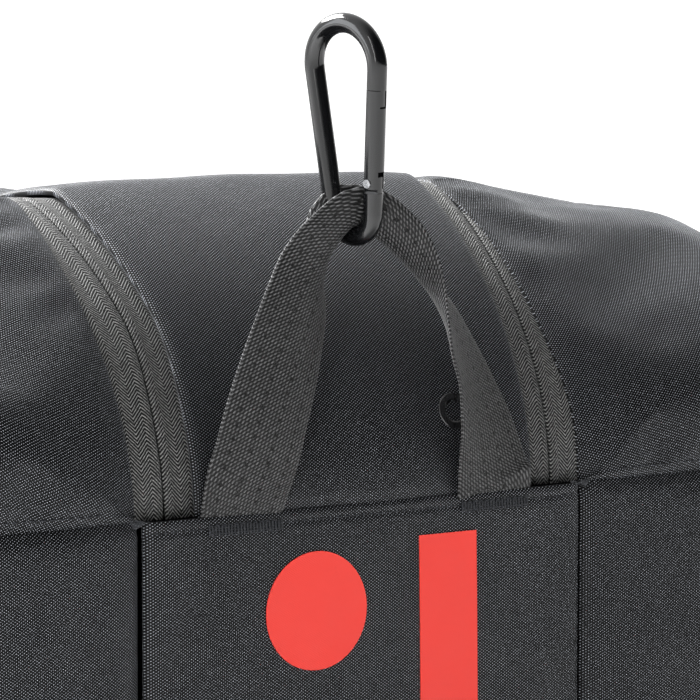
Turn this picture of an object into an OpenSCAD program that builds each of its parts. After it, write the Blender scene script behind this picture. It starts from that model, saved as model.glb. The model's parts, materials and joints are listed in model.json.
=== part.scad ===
// Hockey equipment bag: a long soft bag with two side-by-side compartments.
// Each compartment opens as a flap along a coil zip that runs over the top and down both ends.
// A webbing hang loop sewn into the front seam carries a spring-gate carabiner.
// Axes: X across the bag, Y along it with the front end at -Y, Z up from the floor under the runners.

/* [Bag body] */
// Length of the fabric body
bag_length = 1040; // [1000:10:1100]
// Width across both compartments
bag_width = 470; // [450:5:490]
// Height of the shoulders above the floor
bag_height = 432; // [424:2:440]
// How far the top sags between the two shoulders
top_sag = 24; // [18:1:26]
// Height of the seam where the zips and the hang loop end
seam_height = 318; // [312:2:322]
// Depth of the curve from the end face to the top of the shoulder
end_depth = 96; // [90:2:104]
// Radius of the vertical corners
corner_r = 80; // [70:5:90]
// Radius along the top side edges
top_edge_r = 65; // [60:1:68]
// Thickness of a padded fabric wall
wall = 4; // [3:0.5:4]

/* [Centre panel] */
// Half width of the centre panel at the seam
centre_half_low = 75; // [70:1:80]
// Half width of the centre panel on top of the shoulder
centre_half_high = 85; // [80:1:90]
// Half width of the centre panel along the flat top
centre_half_flat = 90; // [86:1:94]

/* [Zips] */
// Visible width of the two zip tapes together
zip_width = 22; // [20:1:24]
// Half length of the part of the zip that opens
mouth_half = 255; // [240:1:255]
// Length of a zip slider
slider_len = 29; // [24:1:29]
// Length of a zip pull
pull_len = 38; // [28:1:38]

/* [Hang loop and carabiner] */
// Distance of each loop foot from the middle of the bag
loop_foot_x = 55; // [50:1:58]
// Width of the hang loop webbing
loop_web = 34; // [26:1:34]
// Height of the carabiner's lower bow above the seam
loop_rise = 99; // [90:1:104]
// Sideways place of the top of the loop
apex_x = -9; // [-10:1:10]
// Diameter of the carabiner's rod
rod_d = 7.4; // [6:0.2:8]
// Overall height of the carabiner
carabiner_h = 85.5; // [80:0.5:90]
// Bend radius of the wide upper bow, at the rod's centre
bow_top_r = 15.4; // [14:0.2:17]
// Bend radius of the narrow lower bow, at the rod's centre
bow_low_r = 9.6; // [9:0.2:10]
// Turn of the carabiner about the upright, in degrees
carabiner_turn = 76; // [60:1:90]
// Lean of the carabiner towards -X, in degrees
carabiner_lean = 4.5; // [0:0.5:6]

/* [Handles] */
// Half spacing of the two legs of a side handle
handle_half = 110; // [100:1:120]
// Drop of a side handle
handle_drop = 150; // [130:1:170]
// Width of the side handle webbing
handle_web = 38; // [34:1:40]

/* [Base] */
// Height of the base runners
runner_h = 8; // [6:1:10]
// Length of the base runners
runner_len = 760; // [700:10:800]
// Spacing of the base runners
runner_gap = 150; // [140:5:160]

/* [Hidden] */
$fn = 48;

fabric_black = [0.15, 0.16, 0.18];
lining_grey = [0.32, 0.33, 0.35];
webbing_black = [0.11, 0.11, 0.12];
coil_black = [0.09, 0.09, 0.10];
metal_black = [0.05, 0.05, 0.06];
steel = [0.72, 0.72, 0.74];
board_grey = [0.42, 0.43, 0.45];
mark_red = [0.92, 0.24, 0.20];

half_l = bag_length / 2;
half_w = bag_width / 2;
end_rise = bag_height - seam_height;
top_mid = bag_height - top_sag;
sag_run = 145;              // length over which the top falls from a shoulder to its flat middle
hem_step = 2.4;             // the lower end panels lap over the upper ones by this much
gap = 0.3;                  // clearance between neighbouring pieces
tape_t = 1.6;               // thickness of a zip tape
coil_t = 2.8;               // depth of the coil sewn under the tape
coil_w = 3.4;               // width of one half of the coil
seam_lap = 4;               // how far a tape runs on under the fabric beside it
tape_drop = wall + 0.1;     // the tapes lie just under the panels
base_z = runner_h;
base_t = 3;
wall_z = base_z + base_t + 0.2;
end_steps = 14;
sag_steps = 8;
slot_x = centre_half_flat + zip_width / 2;
slider_y = mouth_half + 1.5 + slider_len / 2;
slider_z = top_mid + gap - tape_drop + 0.7;

// ---------------------------------------------------------------- outlines

// Point at share t of the cubic curve with ends a and d and handles b and c.
function bezier(a, b, c, d, t) =
    pow(1 - t, 3) * a + 3 * pow(1 - t, 2) * t * b + 3 * (1 - t) * t * t * c + pow(t, 3) * d;

// End curve from the seam up to the shoulder: steep at first, then rolling over to level.
function end_point(t) = bezier([0, 0], [0, 0.63 * end_rise],
                               [0.9 * end_depth, end_rise], [end_depth, end_rise], t);

front_y = -half_l + hem_step;
front_half_path = concat(
    [for (i = [0 : end_steps]) [front_y, seam_height + gap] + end_point(i / end_steps)],
    [for (i = [1 : sag_steps]) [front_y + end_depth + sag_run * i / sag_steps,
        bag_height + gap - top_sag * (1 - cos(180 * i / sag_steps)) / 2]]
);
function reversed(p) = [for (i = [len(p) - 1 : -1 : 0]) p[i]];
function mirrored(p) = [for (v = reversed(p)) [-v.x, v.y]];
top_path = concat(front_half_path, mirrored(front_half_path));

// The path moved inwards by d, at right angles to itself.
function tangent(p, i) =
    let (v = p[min(i + 1, len(p) - 1)] - p[max(i - 1, 0)]) v / norm(v);
function inset_path(p, d) = [for (i = [0 : len(p) - 1]) p[i] + d * [tangent(p, i).y, -tangent(p, i).x]];

function arc(centre, r, a0, a1, steps = 10) =
    [for (i = [0 : steps]) centre + r * [cos(a0 + (a1 - a0) * i / steps), sin(a0 + (a1 - a0) * i / steps)]];

// Half width of the centre panel, at the stations where its edge bends.
centre_edge = [
    [centre_half_low, -half_l - 10], [centre_half_low, front_y], [centre_half_high, front_y + end_depth],
    [centre_half_flat, front_y + end_depth + sag_run]
];
function full_edge(off) = concat(
    [for (v = centre_edge) [v.x + off, v.y]],
    [for (v = reversed(centre_edge)) [v.x + off, -v.y]]
);

// ---------------------------------------------------------------- solid helpers

// Draws a (Y, Z) outline as a solid from x0 to x1.
module along_x(x0, x1) {
    translate([x0, 0, 0]) rotate([90, 0, 90]) linear_extrude(x1 - x0) children();
}

// Draws an (X, Z) outline as a solid from y0 to y1.
module along_y(y0, y1) {
    translate([0, y1, 0]) rotate([90, 0, 0]) linear_extrude(y1 - y0) children();
}

module box(low, high) {
    translate(low) cube(high - low);
}

// Layer of the arched top between depths d0 and d1 below its outer face.
module top_layer(d0, d1) {
    along_x(-half_w, half_w) polygon(concat(inset_path(top_path, d0), reversed(inset_path(top_path, d1))));
}

// Upright prism between two lines that follow the left zip, off0 and off1 out from the centre panel's edge.
module zip_strip(off0, off1) {
    linear_extrude(bag_height + 10)
        polygon([for (v = concat(full_edge(off0), reversed(full_edge(off1)))) [-v.x, v.y]]);
}

module plan(inset) {
    r = corner_r - inset;
    x = half_w - corner_r;
    y = half_l - corner_r;
    polygon(concat(arc([x, y], r, 0, 90), arc([-x, y], r, 90, 180),
                   arc([-x, -y], r, 180, 270), arc([x, -y], r, 270, 360)));
}

module ring_wall(z0, z1) {
    translate([0, 0, z0]) linear_extrude(z1 - z0) difference() {
        plan(0);
        plan(wall);
    }
}

// Solid outer form of the upper bag, moved in by inset on every side.
module upper_form(inset) {
    r = top_edge_r - inset;
    x = half_w - top_edge_r;
    z = bag_height + gap - top_edge_r;
    intersection() {
        along_x(-half_w, half_w)
            polygon(concat(inset_path(top_path, inset), [[-front_y - inset, 0], [front_y + inset, 0]]));
        along_y(-half_l, half_l)
            polygon(concat([[half_w - inset, 0]], arc([x, z], r, 0, 90), arc([-x, z], r, 90, 180),
                           [[inset - half_w, 0]]));
        linear_extrude(bag_height + 10) plan(inset);
    }
}

module right() {
    mirror([1, 0, 0]) children();
}

module rear() {
    mirror([0, 1, 0]) children();
}

// ---------------------------------------------------------------- base

runner_r = 13;              // half the width of a runner, and the radius of its ends
screw_inset = 60;           // from a runner's end to its outer screws
screw_floor = 2;            // plastic left under each screw
runner_rows = [-runner_gap, 0, runner_gap];
screw_rows = [screw_inset - runner_len / 2, 0, runner_len / 2 - screw_inset];
screw_r = 2.5;
head_r = 5;
head_h = 2.6;
board_z = wall_z;
board_t = 4;
foam_t = 8;
floor_inset = wall + 8;     // board and foam stay this far inside the outer plan

module at_screws() {
    for (x = runner_rows, y = screw_rows) translate([x, y, 0]) children();
}

module base_panel() color(fabric_black) difference() {
    translate([0, 0, base_z]) linear_extrude(base_t) plan(0);
    at_screws() cylinder(r = screw_r + 0.3, h = base_z + base_t + 1);
}

// Skid rails with rounded ends, each held by three screws from inside.
module base_runners() color(metal_black) difference() {
    for (x = runner_rows) {
        straight = runner_len / 2 - runner_r;
        box([x - runner_r, -straight, 0], [x + runner_r, straight, runner_h - 0.1]);
        for (s = [-1, 1]) translate([x, s * straight, 0]) cylinder(r = runner_r, h = runner_h - 0.1);
    }
    at_screws() translate([0, 0, screw_floor]) cylinder(r = screw_r + 0.05, h = runner_h);
}

// Screws driven down through the board into the runners.
module runner_screws() color(steel) at_screws() {
    translate([0, 0, screw_floor + 0.2]) cylinder(r = screw_r, h = board_z + board_t + 0.1 - screw_floor);
    translate([0, 0, board_z + board_t + 0.1]) cylinder(r1 = head_r, r2 = 0.72 * head_r, h = head_h);
}

module inner_floor(z, t, hole_r) difference() {
    translate([0, 0, z]) linear_extrude(t) plan(floor_inset);
    at_screws() translate([0, 0, z - 1]) cylinder(r = hole_r, h = t + 2);
}

module base_board() color(board_grey) inner_floor(board_z, board_t, screw_r + 0.2);

module base_foam() color(lining_grey) inner_floor(board_z + board_t + 0.1, foam_t, head_r + 1);

// ---------------------------------------------------------------- lower walls

lower_half = centre_half_low + zip_width;
module front_end_panel() color(fabric_black)
    box([-lower_half, -half_l, wall_z], [lower_half, -half_l + wall, seam_height]);

module rear_end_panel() rear() front_end_panel();

module left_side_panel() color(fabric_black) difference() {
    ring_wall(wall_z, seam_height);
    box([-lower_half - 0.2, -half_l - 1, 0], [half_w + 1, half_l + 1, bag_height]);
}

module right_side_panel() right() left_side_panel();

stiffener_t = 4.9;
inner_margin = 14;          // the inner boards start this far above the floor and stop below the seam
// Foam boards that keep the two end faces upright.
module front_stiffener() color(lining_grey) box(
    [-lower_half + 6, -half_l + wall + 0.1, wall_z + inner_margin],
    [lower_half - 6, -half_l + wall + 0.1 + stiffener_t, seam_height - inner_margin]
);

module rear_stiffener() rear() front_stiffener();

// Padded wall between the two compartments, cut to the arch of the top.
divider_half_t = 3;
module centre_divider() color(lining_grey) along_x(-divider_half_t, divider_half_t) polygon(concat(
    inset_path(top_path, floor_inset),
    [[-front_y - floor_inset, wall_z + inner_margin], [front_y + floor_inset, wall_z + inner_margin]]
));

// ---------------------------------------------------------------- upper fabric

eyelet_x = 41;
eyelet_share = 0.149;       // place of the eyelet along the end curve
eyelet_at = [front_y, seam_height + gap] + end_point(eyelet_share);
eyelet_dir = end_point(eyelet_share + 0.03) - end_point(eyelet_share - 0.03);
eyelet_tilt = atan2(eyelet_dir.x, eyelet_dir.y);
eyelet_bore = 4;            // radius of the open hole
eyelet_tube = 4.7;          // outer radius of the tube through the fabric
eyelet_rim = 7.2;           // outer radius of the flange
// Places its children on the front of the centre panel, with +Z out of the fabric.
module at_eyelet() {
    translate([eyelet_x, eyelet_at.x, eyelet_at.y]) rotate([90 - eyelet_tilt, 0, 0]) children();
}

module centre_top_panel() color(fabric_black) difference() {
    intersection() {
        top_layer(0, wall);
        linear_extrude(bag_height + 10)
            polygon(concat(full_edge(0), [for (v = reversed(full_edge(0))) [-v.x, v.y]]));
    }
    at_eyelet() cylinder(r = eyelet_tube + 0.2, h = 5 * wall, center = true);
}

// The part of a compartment's top that stays joined to the shell in front of the zip mouth.
module left_front_shoulder() color(fabric_black) intersection() {
    difference() {
        upper_form(0);
        upper_form(wall);
    }
    zip_strip(zip_width, half_w);
    box([-half_w - 1, -half_l - 1, seam_height + gap], [0, -mouth_half - gap, bag_height + 1]);
}

module left_rear_shoulder() rear() left_front_shoulder();

module right_front_shoulder() right() left_front_shoulder();

module right_rear_shoulder() right() left_rear_shoulder();

function flap_outline(d) = concat(
    [[d - half_w, seam_height + 0.6]],
    reversed(arc([top_edge_r - half_w, top_mid + gap - top_edge_r], top_edge_r - d, 90, 180)),
    [[-centre_half_flat - zip_width, top_mid + gap - d]]
);

module left_flap() color(fabric_black)
    along_y(-mouth_half, mouth_half) polygon(concat(flap_outline(0), reversed(flap_outline(wall))));

module right_flap() right() left_flap();

// ---------------------------------------------------------------- zips

// One half of a zip: woven tape from off0 to off1 with its half of the coil beside the slot.
module zip_half(off0, off1, coil0, coil1) color(coil_black) {
    intersection() {
        top_layer(tape_drop, tape_drop + tape_t);
        zip_strip(off0, off1);
    }
    intersection() {
        top_layer(tape_drop + tape_t, tape_drop + tape_t + coil_t);
        zip_strip(coil0, coil1);
    }
}

slot = zip_width / 2;
module left_inner_zip_half() zip_half(-seam_lap, slot - 0.3, slot - 0.3 - coil_w, slot - 0.3);

module right_inner_zip_half() right() left_inner_zip_half();

module left_outer_half() zip_half(slot + 0.3, zip_width + seam_lap, slot + 0.3, slot + 0.3 + coil_w);

module left_flap_zip_half() color(coil_black) intersection() {
    left_outer_half();
    box([-half_w, -mouth_half, 0], [0, mouth_half, bag_height + 1]);
}

module left_outer_zip_ends() color(coil_black) difference() {
    left_outer_half();
    box([-half_w, -mouth_half - gap, 0], [0, mouth_half + gap, bag_height + 1]);
}

module right_flap_zip_half() right() left_flap_zip_half();

module right_outer_zip_ends() right() left_outer_zip_ends();

slider_w = 12;
slider_taper = 2;           // how much each side narrows towards the nose
plate_t = 2.6;
bail_t = 2.4;
bail_top = 7.5;
bail_half = 9;              // half length of the bail where it joins the crown
pin_r = 1.1;
pin_y = 3;
pin_z = plate_t + 2.4;
pull_w = 9;
pull_t = 1.8;
cord_hole_r = 2;
module at_left_slider() {
    translate([-slot_x, slider_y, slider_z]) children();
}

// Slider crown that tapers to its nose, with the bail that holds the pull.
module left_zip_slider() color(metal_black) at_left_slider() {
    nose = slider_w / 2 - slider_taper;
    end = slider_len / 2;
    linear_extrude(plate_t) polygon([
        [-slider_w / 2, 3 - end], [-nose, -end], [nose, -end], [slider_w / 2, 3 - end],
        [nose, end], [-nose, end]
    ]);
    along_x(-bail_t / 2, bail_t / 2) difference() {
        trapezium(bail_half, plate_t - 0.1, bail_half - 2, bail_top);
        trapezium(bail_half - 2.4, plate_t + 0.6, bail_half - 3.6, bail_top - 1.4);
    }
}

// Symmetrical outline from half width a at height z0 to half width b at height z1.
module trapezium(a, z0, b, z1) {
    polygon([[-a, z0], [-b, z1], [b, z1], [a, z0]]);
}

module right_zip_slider() right() left_zip_slider();

// Pull with a cross pin that turns inside the bail, and a hole for a cord at its tip.
module left_zip_pull() color(metal_black) at_left_slider() translate([0, pin_y, pin_z]) {
    rotate([0, 90, 0]) cylinder(r = pin_r, h = pull_w, center = true);
    translate([0, 0, -pull_t / 2]) linear_extrude(pull_t) difference() {
        union() {
            translate([-pull_w / 2, -pin_r]) square([pull_w, pull_len - pull_w / 2 + pin_r]);
            translate([0, pull_len - pull_w / 2]) circle(r = pull_w / 2);
        }
        translate([-bail_t / 2 - 0.8, -pin_r - 1]) square([bail_t + 1.6, bail_half + 5]);
        translate([0, pull_len - pull_w / 2]) circle(r = cord_hole_r);
    }
}

module right_zip_pull() right() left_zip_pull();

// ---------------------------------------------------------------- vent eyelet and print

tube_end = -wall - 1.4;
module vent_eyelet() color(metal_black) at_eyelet() rotate_extrude() polygon([
    [eyelet_bore, tube_end], [eyelet_tube, tube_end], [eyelet_tube, 0.5], [eyelet_rim, 0.5],
    [eyelet_rim - 0.6, 1.3], [eyelet_tube + 0.1, 1.7], [eyelet_bore, 1.2]
]);

module vent_washer() color(steel) at_eyelet() translate([0, 0, tube_end + 0.2])
    rotate_extrude() translate([eyelet_tube + 0.1, 0]) square([eyelet_rim - eyelet_tube, 0.6]);

module vent_mesh() color(lining_grey) at_eyelet() translate([0, 0, tube_end - 0.7])
    cylinder(r = eyelet_rim + 1.8, h = 0.5);

// Generic print on the front: an upright hockey stick and a puck.
mark_top = seam_height - 14;
stick_w = 26;               // width of the shaft and of the blade
heel_x = 46;
toe_x = -40;
blade_z = 124;
puck_r = 22;
module front_mark() color(mark_red) along_y(-half_l - 0.5, -half_l - 0.1) {
    polygon([
        [heel_x - stick_w, mark_top], [heel_x, mark_top], [heel_x, blade_z + stick_w], [heel_x - 12, blade_z],
        [toe_x + 10, blade_z], [toe_x, blade_z + 10], [toe_x, blade_z + stick_w],
        [heel_x - stick_w, blade_z + stick_w]
    ]);
    translate([toe_x + 18, mark_top - puck_r - 2]) circle(r = puck_r);
}

// ---------------------------------------------------------------- hang loop

loop_y = -half_l - 0.9;
loop_z = seam_height + 0.9;
loop_t = 1.6;
bow_z = seam_height + loop_rise;
rod_r = rod_d / 2;
fold_w = 15;                // width of the webbing where it bunches over the rod

// Two webbing legs rise from the seam and meet over the carabiner's lower bow.
module hang_loop() color(webbing_black) along_y(loop_y - loop_t / 2, loop_y + loop_t / 2) difference() {
    polygon([
        [-loop_foot_x - loop_web / 2, loop_z], [-loop_foot_x + loop_web / 2, loop_z],
        [apex_x - 2, bow_z], [apex_x + 2, bow_z],
        [loop_foot_x - loop_web / 2, loop_z], [loop_foot_x + loop_web / 2, loop_z],
        [apex_x + 9, bow_z + rod_r + fold_w - 3], [apex_x + 4, bow_z + rod_r + fold_w],
        [apex_x - 4, bow_z + rod_r + fold_w], [apex_x - 9, bow_z + rod_r + fold_w - 3]
    ]);
    translate([apex_x, bow_z]) circle(r = rod_r + 0.8);
}

// Stitched boxes just under the seam that hold the two feet of the loop.
module hang_loop_bartacks() color(webbing_black)
    for (s = [-1, 1]) along_y(-half_l - 0.7, -half_l - 0.1) difference() {
        bartack_outline(s * loop_foot_x, 0);
        bartack_outline(s * loop_foot_x, 1);
    }

bartack_h = 4;
module bartack_outline(x, inset) {
    translate([x - loop_web / 2 + inset, seam_height - 9 + inset])
        square([loop_web, bartack_h] - 2 * [inset, inset]);
}

// ---------------------------------------------------------------- carabiner

// Worked out flat, with the wide bow up: x across, y up from the lower bow's centre line.
bow_gap = carabiner_h - rod_d - bow_top_r - bow_low_r;
leg_tilt = asin((bow_top_r - bow_low_r) / bow_gap);
leg_len = bow_gap * cos(leg_tilt);
gate_start = 8;             // along the gate leg, from the end of the lower bow
gate_len = 38;
tongue_t = 2.8;
tongue_len = 6;
gate_lift = 1.6;            // the gate's foot stays this far above the leg, so it can turn inwards
slot_len = tongue_len + 3;  // slot in each end of the gate
rivet_r = 1.1;
rivet_z = gate_start + 3.6;
spring_z = gate_start + 9;
spring_len = 18;

module at_carabiner() {
    translate([apex_x, loop_y, bow_z]) rotate([0, 0, -carabiner_turn]) rotate([90 + carabiner_lean, 0, 0])
        children();
}

// Puts its children on a leg with +Z along the leg from the lower bow to the upper one.
module on_leg(side) {
    translate([0, bow_low_r, 0]) rotate([0, 0, -side * leg_tilt]) translate([side * bow_low_r, 0, 0])
        rotate([-90, 0, 0]) children();
}

module bow(r, centre_y, start, sweep) {
    translate([0, centre_y, 0]) rotate([0, 0, start]) rotate_extrude(angle = sweep)
        translate([r, 0]) circle(r = rod_r);
}

module tongue(from_z) {
    intersection() {
        translate([0, 0, from_z]) cylinder(r = rod_r - 0.3, h = tongue_len + 0.2);
        translate([-rod_r, -tongue_t / 2, from_z]) cube([rod_d, tongue_t, tongue_len + 0.2]);
    }
}

// The legs are a hair thinner than the bows and start just inside them.
module leg_rod(from_z, to_z) {
    translate([0, 0, from_z]) cylinder(r = rod_r - 0.03, h = to_z - from_z);
}

module carabiner_body() color(metal_black) at_carabiner() difference() {
    union() {
        bow(bow_low_r, bow_low_r, 180 + leg_tilt, 180 - 2 * leg_tilt);
        bow(bow_top_r, bow_low_r + bow_gap, -leg_tilt, 180 + 2 * leg_tilt);
        on_leg(-1) leg_rod(-0.4, leg_len + 0.4);
        on_leg(1) {
            leg_rod(-0.4, gate_start);
            tongue(gate_start - 0.1);
            tongue(gate_start + gate_len - tongue_len - 0.1);
            leg_rod(gate_start + gate_len, leg_len + 0.4);
        }
    }
    on_leg(1) translate([0, 0, rivet_z]) rotate([90, 0, 0])
        cylinder(r = rivet_r + 0.05, h = rod_d + 2, center = true);
}

// Tubular gate, slotted at both ends for the tongues and bored for its spring.
module carabiner_gate() color(metal_black) at_carabiner() on_leg(1) difference() {
    translate([0, 0, gate_start + gate_lift]) cylinder(r = rod_r, h = gate_len - gate_lift - gap);
    for (z = [gate_start - 1, gate_start + gate_len - tongue_len - 0.7])
        translate([-rod_r - 1, -tongue_t / 2 - 0.2, z]) cube([rod_d + 2, tongue_t + 0.4, slot_len]);
    translate([0, 0, spring_z]) cylinder(r = 2.2, h = spring_len + 2);
    translate([0, 0, rivet_z]) rotate([90, 0, 0]) cylinder(r = rivet_r, h = rod_d + 2, center = true);
}

// Rivet that the gate turns on, with a small head on each side.
module carabiner_rivets() color(steel) at_carabiner() on_leg(1) translate([0, 0, rivet_z])
    rotate([90, 0, 0]) {
        cylinder(r = rivet_r, h = rod_d, center = true);
        for (s = [-1, 1]) translate([0, 0, s * (rod_r + 0.2)])
            cylinder(r = rivet_r + 0.5, h = 0.4, center = true);
    }

module gate_spring() color(steel) at_carabiner() on_leg(1) translate([0, 0, spring_z + 0.4]) difference() {
    cylinder(r = 1.9, h = spring_len);
    translate([0, 0, -1]) cylinder(r = 1.3, h = spring_len + 2);
}

// ---------------------------------------------------------------- handles

strap_t = 2;
anchor_t = 1.6;
stand_off = 4;              // from the wall to the middle of a hanging handle
grip_in = 3.4;              // thickness of a grip on the wall's side of the webbing's middle
grip_out = 4.5;             // and on the outer side
grip_hem = 3;               // the grip is wider than the webbing by this much on each edge
// Flat U of webbing that hangs from z = 0 down to -drop.
module u_strap(half, drop, web, r) {
    difference() {
        u_blank(half + web / 2, drop, r + web / 2);
        u_blank(half - web / 2, drop - web, r - web / 2);
    }
}

module u_blank(half, drop, r) {
    translate([-half, r - drop]) square([2 * half, drop - r]);
    translate([r - half, -drop]) square([2 * (half - r), r + 0.1]);
    for (s = [-1, 1]) translate([s * (half - r), r - drop]) circle(r = r);
}

side_strap_x = -half_w - stand_off;
side_strap_z = 296;
side_corner = 45;
side_grip = 60;             // half length of the side grip
module left_strap_at(x0, x1) {
    translate([0, 0, side_strap_z]) along_x(x0, x1) children();
}

module left_handle() color(webbing_black)
    left_strap_at(side_strap_x - strap_t / 2, side_strap_x + strap_t / 2)
        u_strap(handle_half, handle_drop, handle_web, side_corner);

module left_handle_grip() color(webbing_black) {
    difference() {
        left_strap_at(side_strap_x - grip_out, side_strap_x + grip_in)
            grip_outline(side_grip, handle_drop, handle_web, grip_hem);
        left_strap_at(side_strap_x - strap_t / 2 - 0.1, side_strap_x + strap_t / 2 + 0.1)
            grip_outline(side_grip + 10, handle_drop, handle_web, 0.1);
    }
}

// Rectangle round the lowest run of a handle, wider than the webbing by margin.
module grip_outline(half, drop, web, margin) {
    translate([-half, -drop - margin]) square([2 * half, web + 2 * margin]);
}

module left_handle_anchors() color(webbing_black) for (s = [-1, 1])
    box([-half_w - anchor_t - 0.1, s * handle_half - handle_web / 2, wall_z + 4],
        [-half_w - 0.1, s * handle_half + handle_web / 2, side_strap_z - 3]);

module right_handle() right() left_handle();

module right_handle_grip() right() left_handle_grip();

module right_handle_anchors() right() left_handle_anchors();

rear_strap_y = half_l + stand_off;
rear_strap_z = 268;
rear_half = 66;
rear_drop = 92;
rear_web = 32;
rear_corner = 28;
rear_grip = 34;
module rear_handle() color(webbing_black) translate([0, 0, rear_strap_z])
    along_y(rear_strap_y - strap_t / 2, rear_strap_y + strap_t / 2)
        u_strap(rear_half, rear_drop, rear_web, rear_corner);

module rear_handle_grip() color(webbing_black) translate([0, 0, rear_strap_z]) difference() {
    along_y(rear_strap_y - grip_in, rear_strap_y + grip_out)
        grip_outline(rear_grip, rear_drop, rear_web, grip_hem);
    along_y(rear_strap_y - strap_t / 2 - 0.1, rear_strap_y + strap_t / 2 + 0.1)
        grip_outline(rear_grip + 10, rear_drop, rear_web, 0.1);
}

module rear_handle_anchors() color(webbing_black) for (s = [-1, 1])
    box([s * rear_half - rear_web / 2, half_l + 0.1, rear_strap_z + 3],
        [s * rear_half + rear_web / 2, half_l + 0.1 + anchor_t, seam_height - 2]);

// ---------------------------------------------------------------- nodes

base_panel();
base_runners();
runner_screws();
base_board();
base_foam();
front_end_panel();
rear_end_panel();
left_side_panel();
right_side_panel();
front_stiffener();
rear_stiffener();
centre_divider();
centre_top_panel();
left_front_shoulder();
left_rear_shoulder();
right_front_shoulder();
right_rear_shoulder();
left_flap();
right_flap();
left_inner_zip_half();
right_inner_zip_half();
left_outer_zip_ends();
right_outer_zip_ends();
left_flap_zip_half();
right_flap_zip_half();
left_zip_slider();
right_zip_slider();
left_zip_pull();
right_zip_pull();
vent_eyelet();
vent_washer();
vent_mesh();
front_mark();
hang_loop();
hang_loop_bartacks();
carabiner_body();
carabiner_gate();
carabiner_rivets();
gate_spring();
left_handle();
right_handle();
left_handle_grip();
right_handle_grip();
left_handle_anchors();
right_handle_anchors();
rear_handle();
rear_handle_grip();
rear_handle_anchors();
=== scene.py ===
"""Hockey equipment bag: the fabric, zips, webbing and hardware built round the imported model."""

import json
import math
import random

import bmesh
import bpy
import numpy as np
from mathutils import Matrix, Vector


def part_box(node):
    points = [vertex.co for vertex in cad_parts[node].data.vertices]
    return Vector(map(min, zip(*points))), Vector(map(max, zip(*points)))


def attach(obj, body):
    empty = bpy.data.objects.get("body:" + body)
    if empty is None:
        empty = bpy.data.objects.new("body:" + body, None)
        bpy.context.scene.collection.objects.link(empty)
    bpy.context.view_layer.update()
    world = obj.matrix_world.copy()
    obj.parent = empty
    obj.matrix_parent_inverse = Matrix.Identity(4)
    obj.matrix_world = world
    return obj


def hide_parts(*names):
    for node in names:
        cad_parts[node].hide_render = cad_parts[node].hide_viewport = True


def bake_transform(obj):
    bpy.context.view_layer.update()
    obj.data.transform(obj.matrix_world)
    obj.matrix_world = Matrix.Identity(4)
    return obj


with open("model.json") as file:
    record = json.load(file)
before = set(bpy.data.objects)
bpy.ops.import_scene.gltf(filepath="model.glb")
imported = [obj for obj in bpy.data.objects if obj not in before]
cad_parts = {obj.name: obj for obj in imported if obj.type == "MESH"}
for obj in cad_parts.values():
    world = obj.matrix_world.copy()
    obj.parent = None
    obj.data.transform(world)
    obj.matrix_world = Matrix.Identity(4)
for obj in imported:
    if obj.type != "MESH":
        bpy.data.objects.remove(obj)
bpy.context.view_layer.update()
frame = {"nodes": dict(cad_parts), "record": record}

# ---------------------------------------------------------------- sizes, in metres

MM = 0.001
centre_lo, centre_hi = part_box("centre_top_panel")
side_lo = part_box("left_side_panel")[0]
low_panel_lo, low_panel_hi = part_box("front_end_panel")

HALF_L = -low_panel_lo.y            # outer face of the lower end panels
HALF_W = -side_lo.x                 # outer face of the side walls
SEAM_Z = low_panel_hi.z             # the seam where zips and hang loop end
FOOT_Z = low_panel_lo.z             # lower edge of the walls
FRONT_Y = centre_lo.y               # outer face of the upper end, at the seam
TOP_Z = centre_hi.z                 # top of the shoulders
LOWER_HALF = low_panel_hi.x         # half width of the lower end panels
END_RISE = TOP_Z - centre_lo.z
END_DEPTH = 96 * MM
SAG = 24 * MM                       # the top between the shoulders lies this much lower
SAG_RUN = 145 * MM
CORNER_R = 80 * MM
EDGE_STATIONS = [FRONT_Y + END_DEPTH + SAG_RUN, FRONT_Y + END_DEPTH, FRONT_Y]
EDGE_HALVES = [90 * MM, 85 * MM, 75 * MM]   # half width of the centre panel at those stations
ZIP_W = 22 * MM
SLOT = ZIP_W / 2
TAPE_DROP = 4.4 * MM                # the tapes lie this far below the centre panel's face
FABRIC_T = 1.8 * MM
WEB_T = 1.6 * MM

ASKEW = 5 * MM                      # the left zip leans this far inwards over the front shoulder
NARROW_RUN = 150 * MM               # length over the shoulder in which the zips' visible width changes
WIDE_SHOW = 19.5 * MM               # width of zip showing along the middle of the bag

SIDES = {"left": -1, "right": 1}
SETTLE_FRAMES = 20


def blend_curve(a, b, c, d, t):
    """Point at share t of the cubic curve with ends a and d and handles b and c."""
    a, b, c, d = (np.asarray(p, float) for p in (a, b, c, d))
    t = np.asarray(t, float)[..., None]
    return (1 - t) ** 3 * a + 3 * (1 - t) ** 2 * t * b + 3 * (1 - t) * t**2 * c + t**3 * d


def top_profile(end_rows=44, sag_rows=26, flat_rows=34):
    """Side view of the top as (y, z) rows, from the front seam over both shoulders to the rear seam."""
    y, z = FRONT_Y, centre_lo.z
    end = blend_curve((y, z), (y, z + 0.63 * END_RISE), (y + 0.9 * END_DEPTH, TOP_Z),
                      (y + END_DEPTH, TOP_Z), np.linspace(0, 1, end_rows))
    share = np.linspace(0, 1, sag_rows)[1:]
    sag = np.stack([y + END_DEPTH + SAG_RUN * share, TOP_Z - SAG * (1 - np.cos(np.pi * share)) / 2], 1)
    flat_y = np.linspace(sag[-1, 0], 0, flat_rows)[1:]
    flat = np.stack([flat_y, np.full(len(flat_y), sag[-1, 1])], 1)
    half = np.concatenate([end, sag, flat])
    return np.concatenate([half, half[-2::-1] * [-1, 1]])


def unit(rows):
    """Rows scaled to length 1."""
    return rows / np.linalg.norm(rows, axis=1)[:, None]


def run_lengths(points):
    """Distance of each point from the first, along the line."""
    return np.concatenate([[0], np.cumsum(np.linalg.norm(np.diff(points, axis=0), axis=1))])


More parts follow.
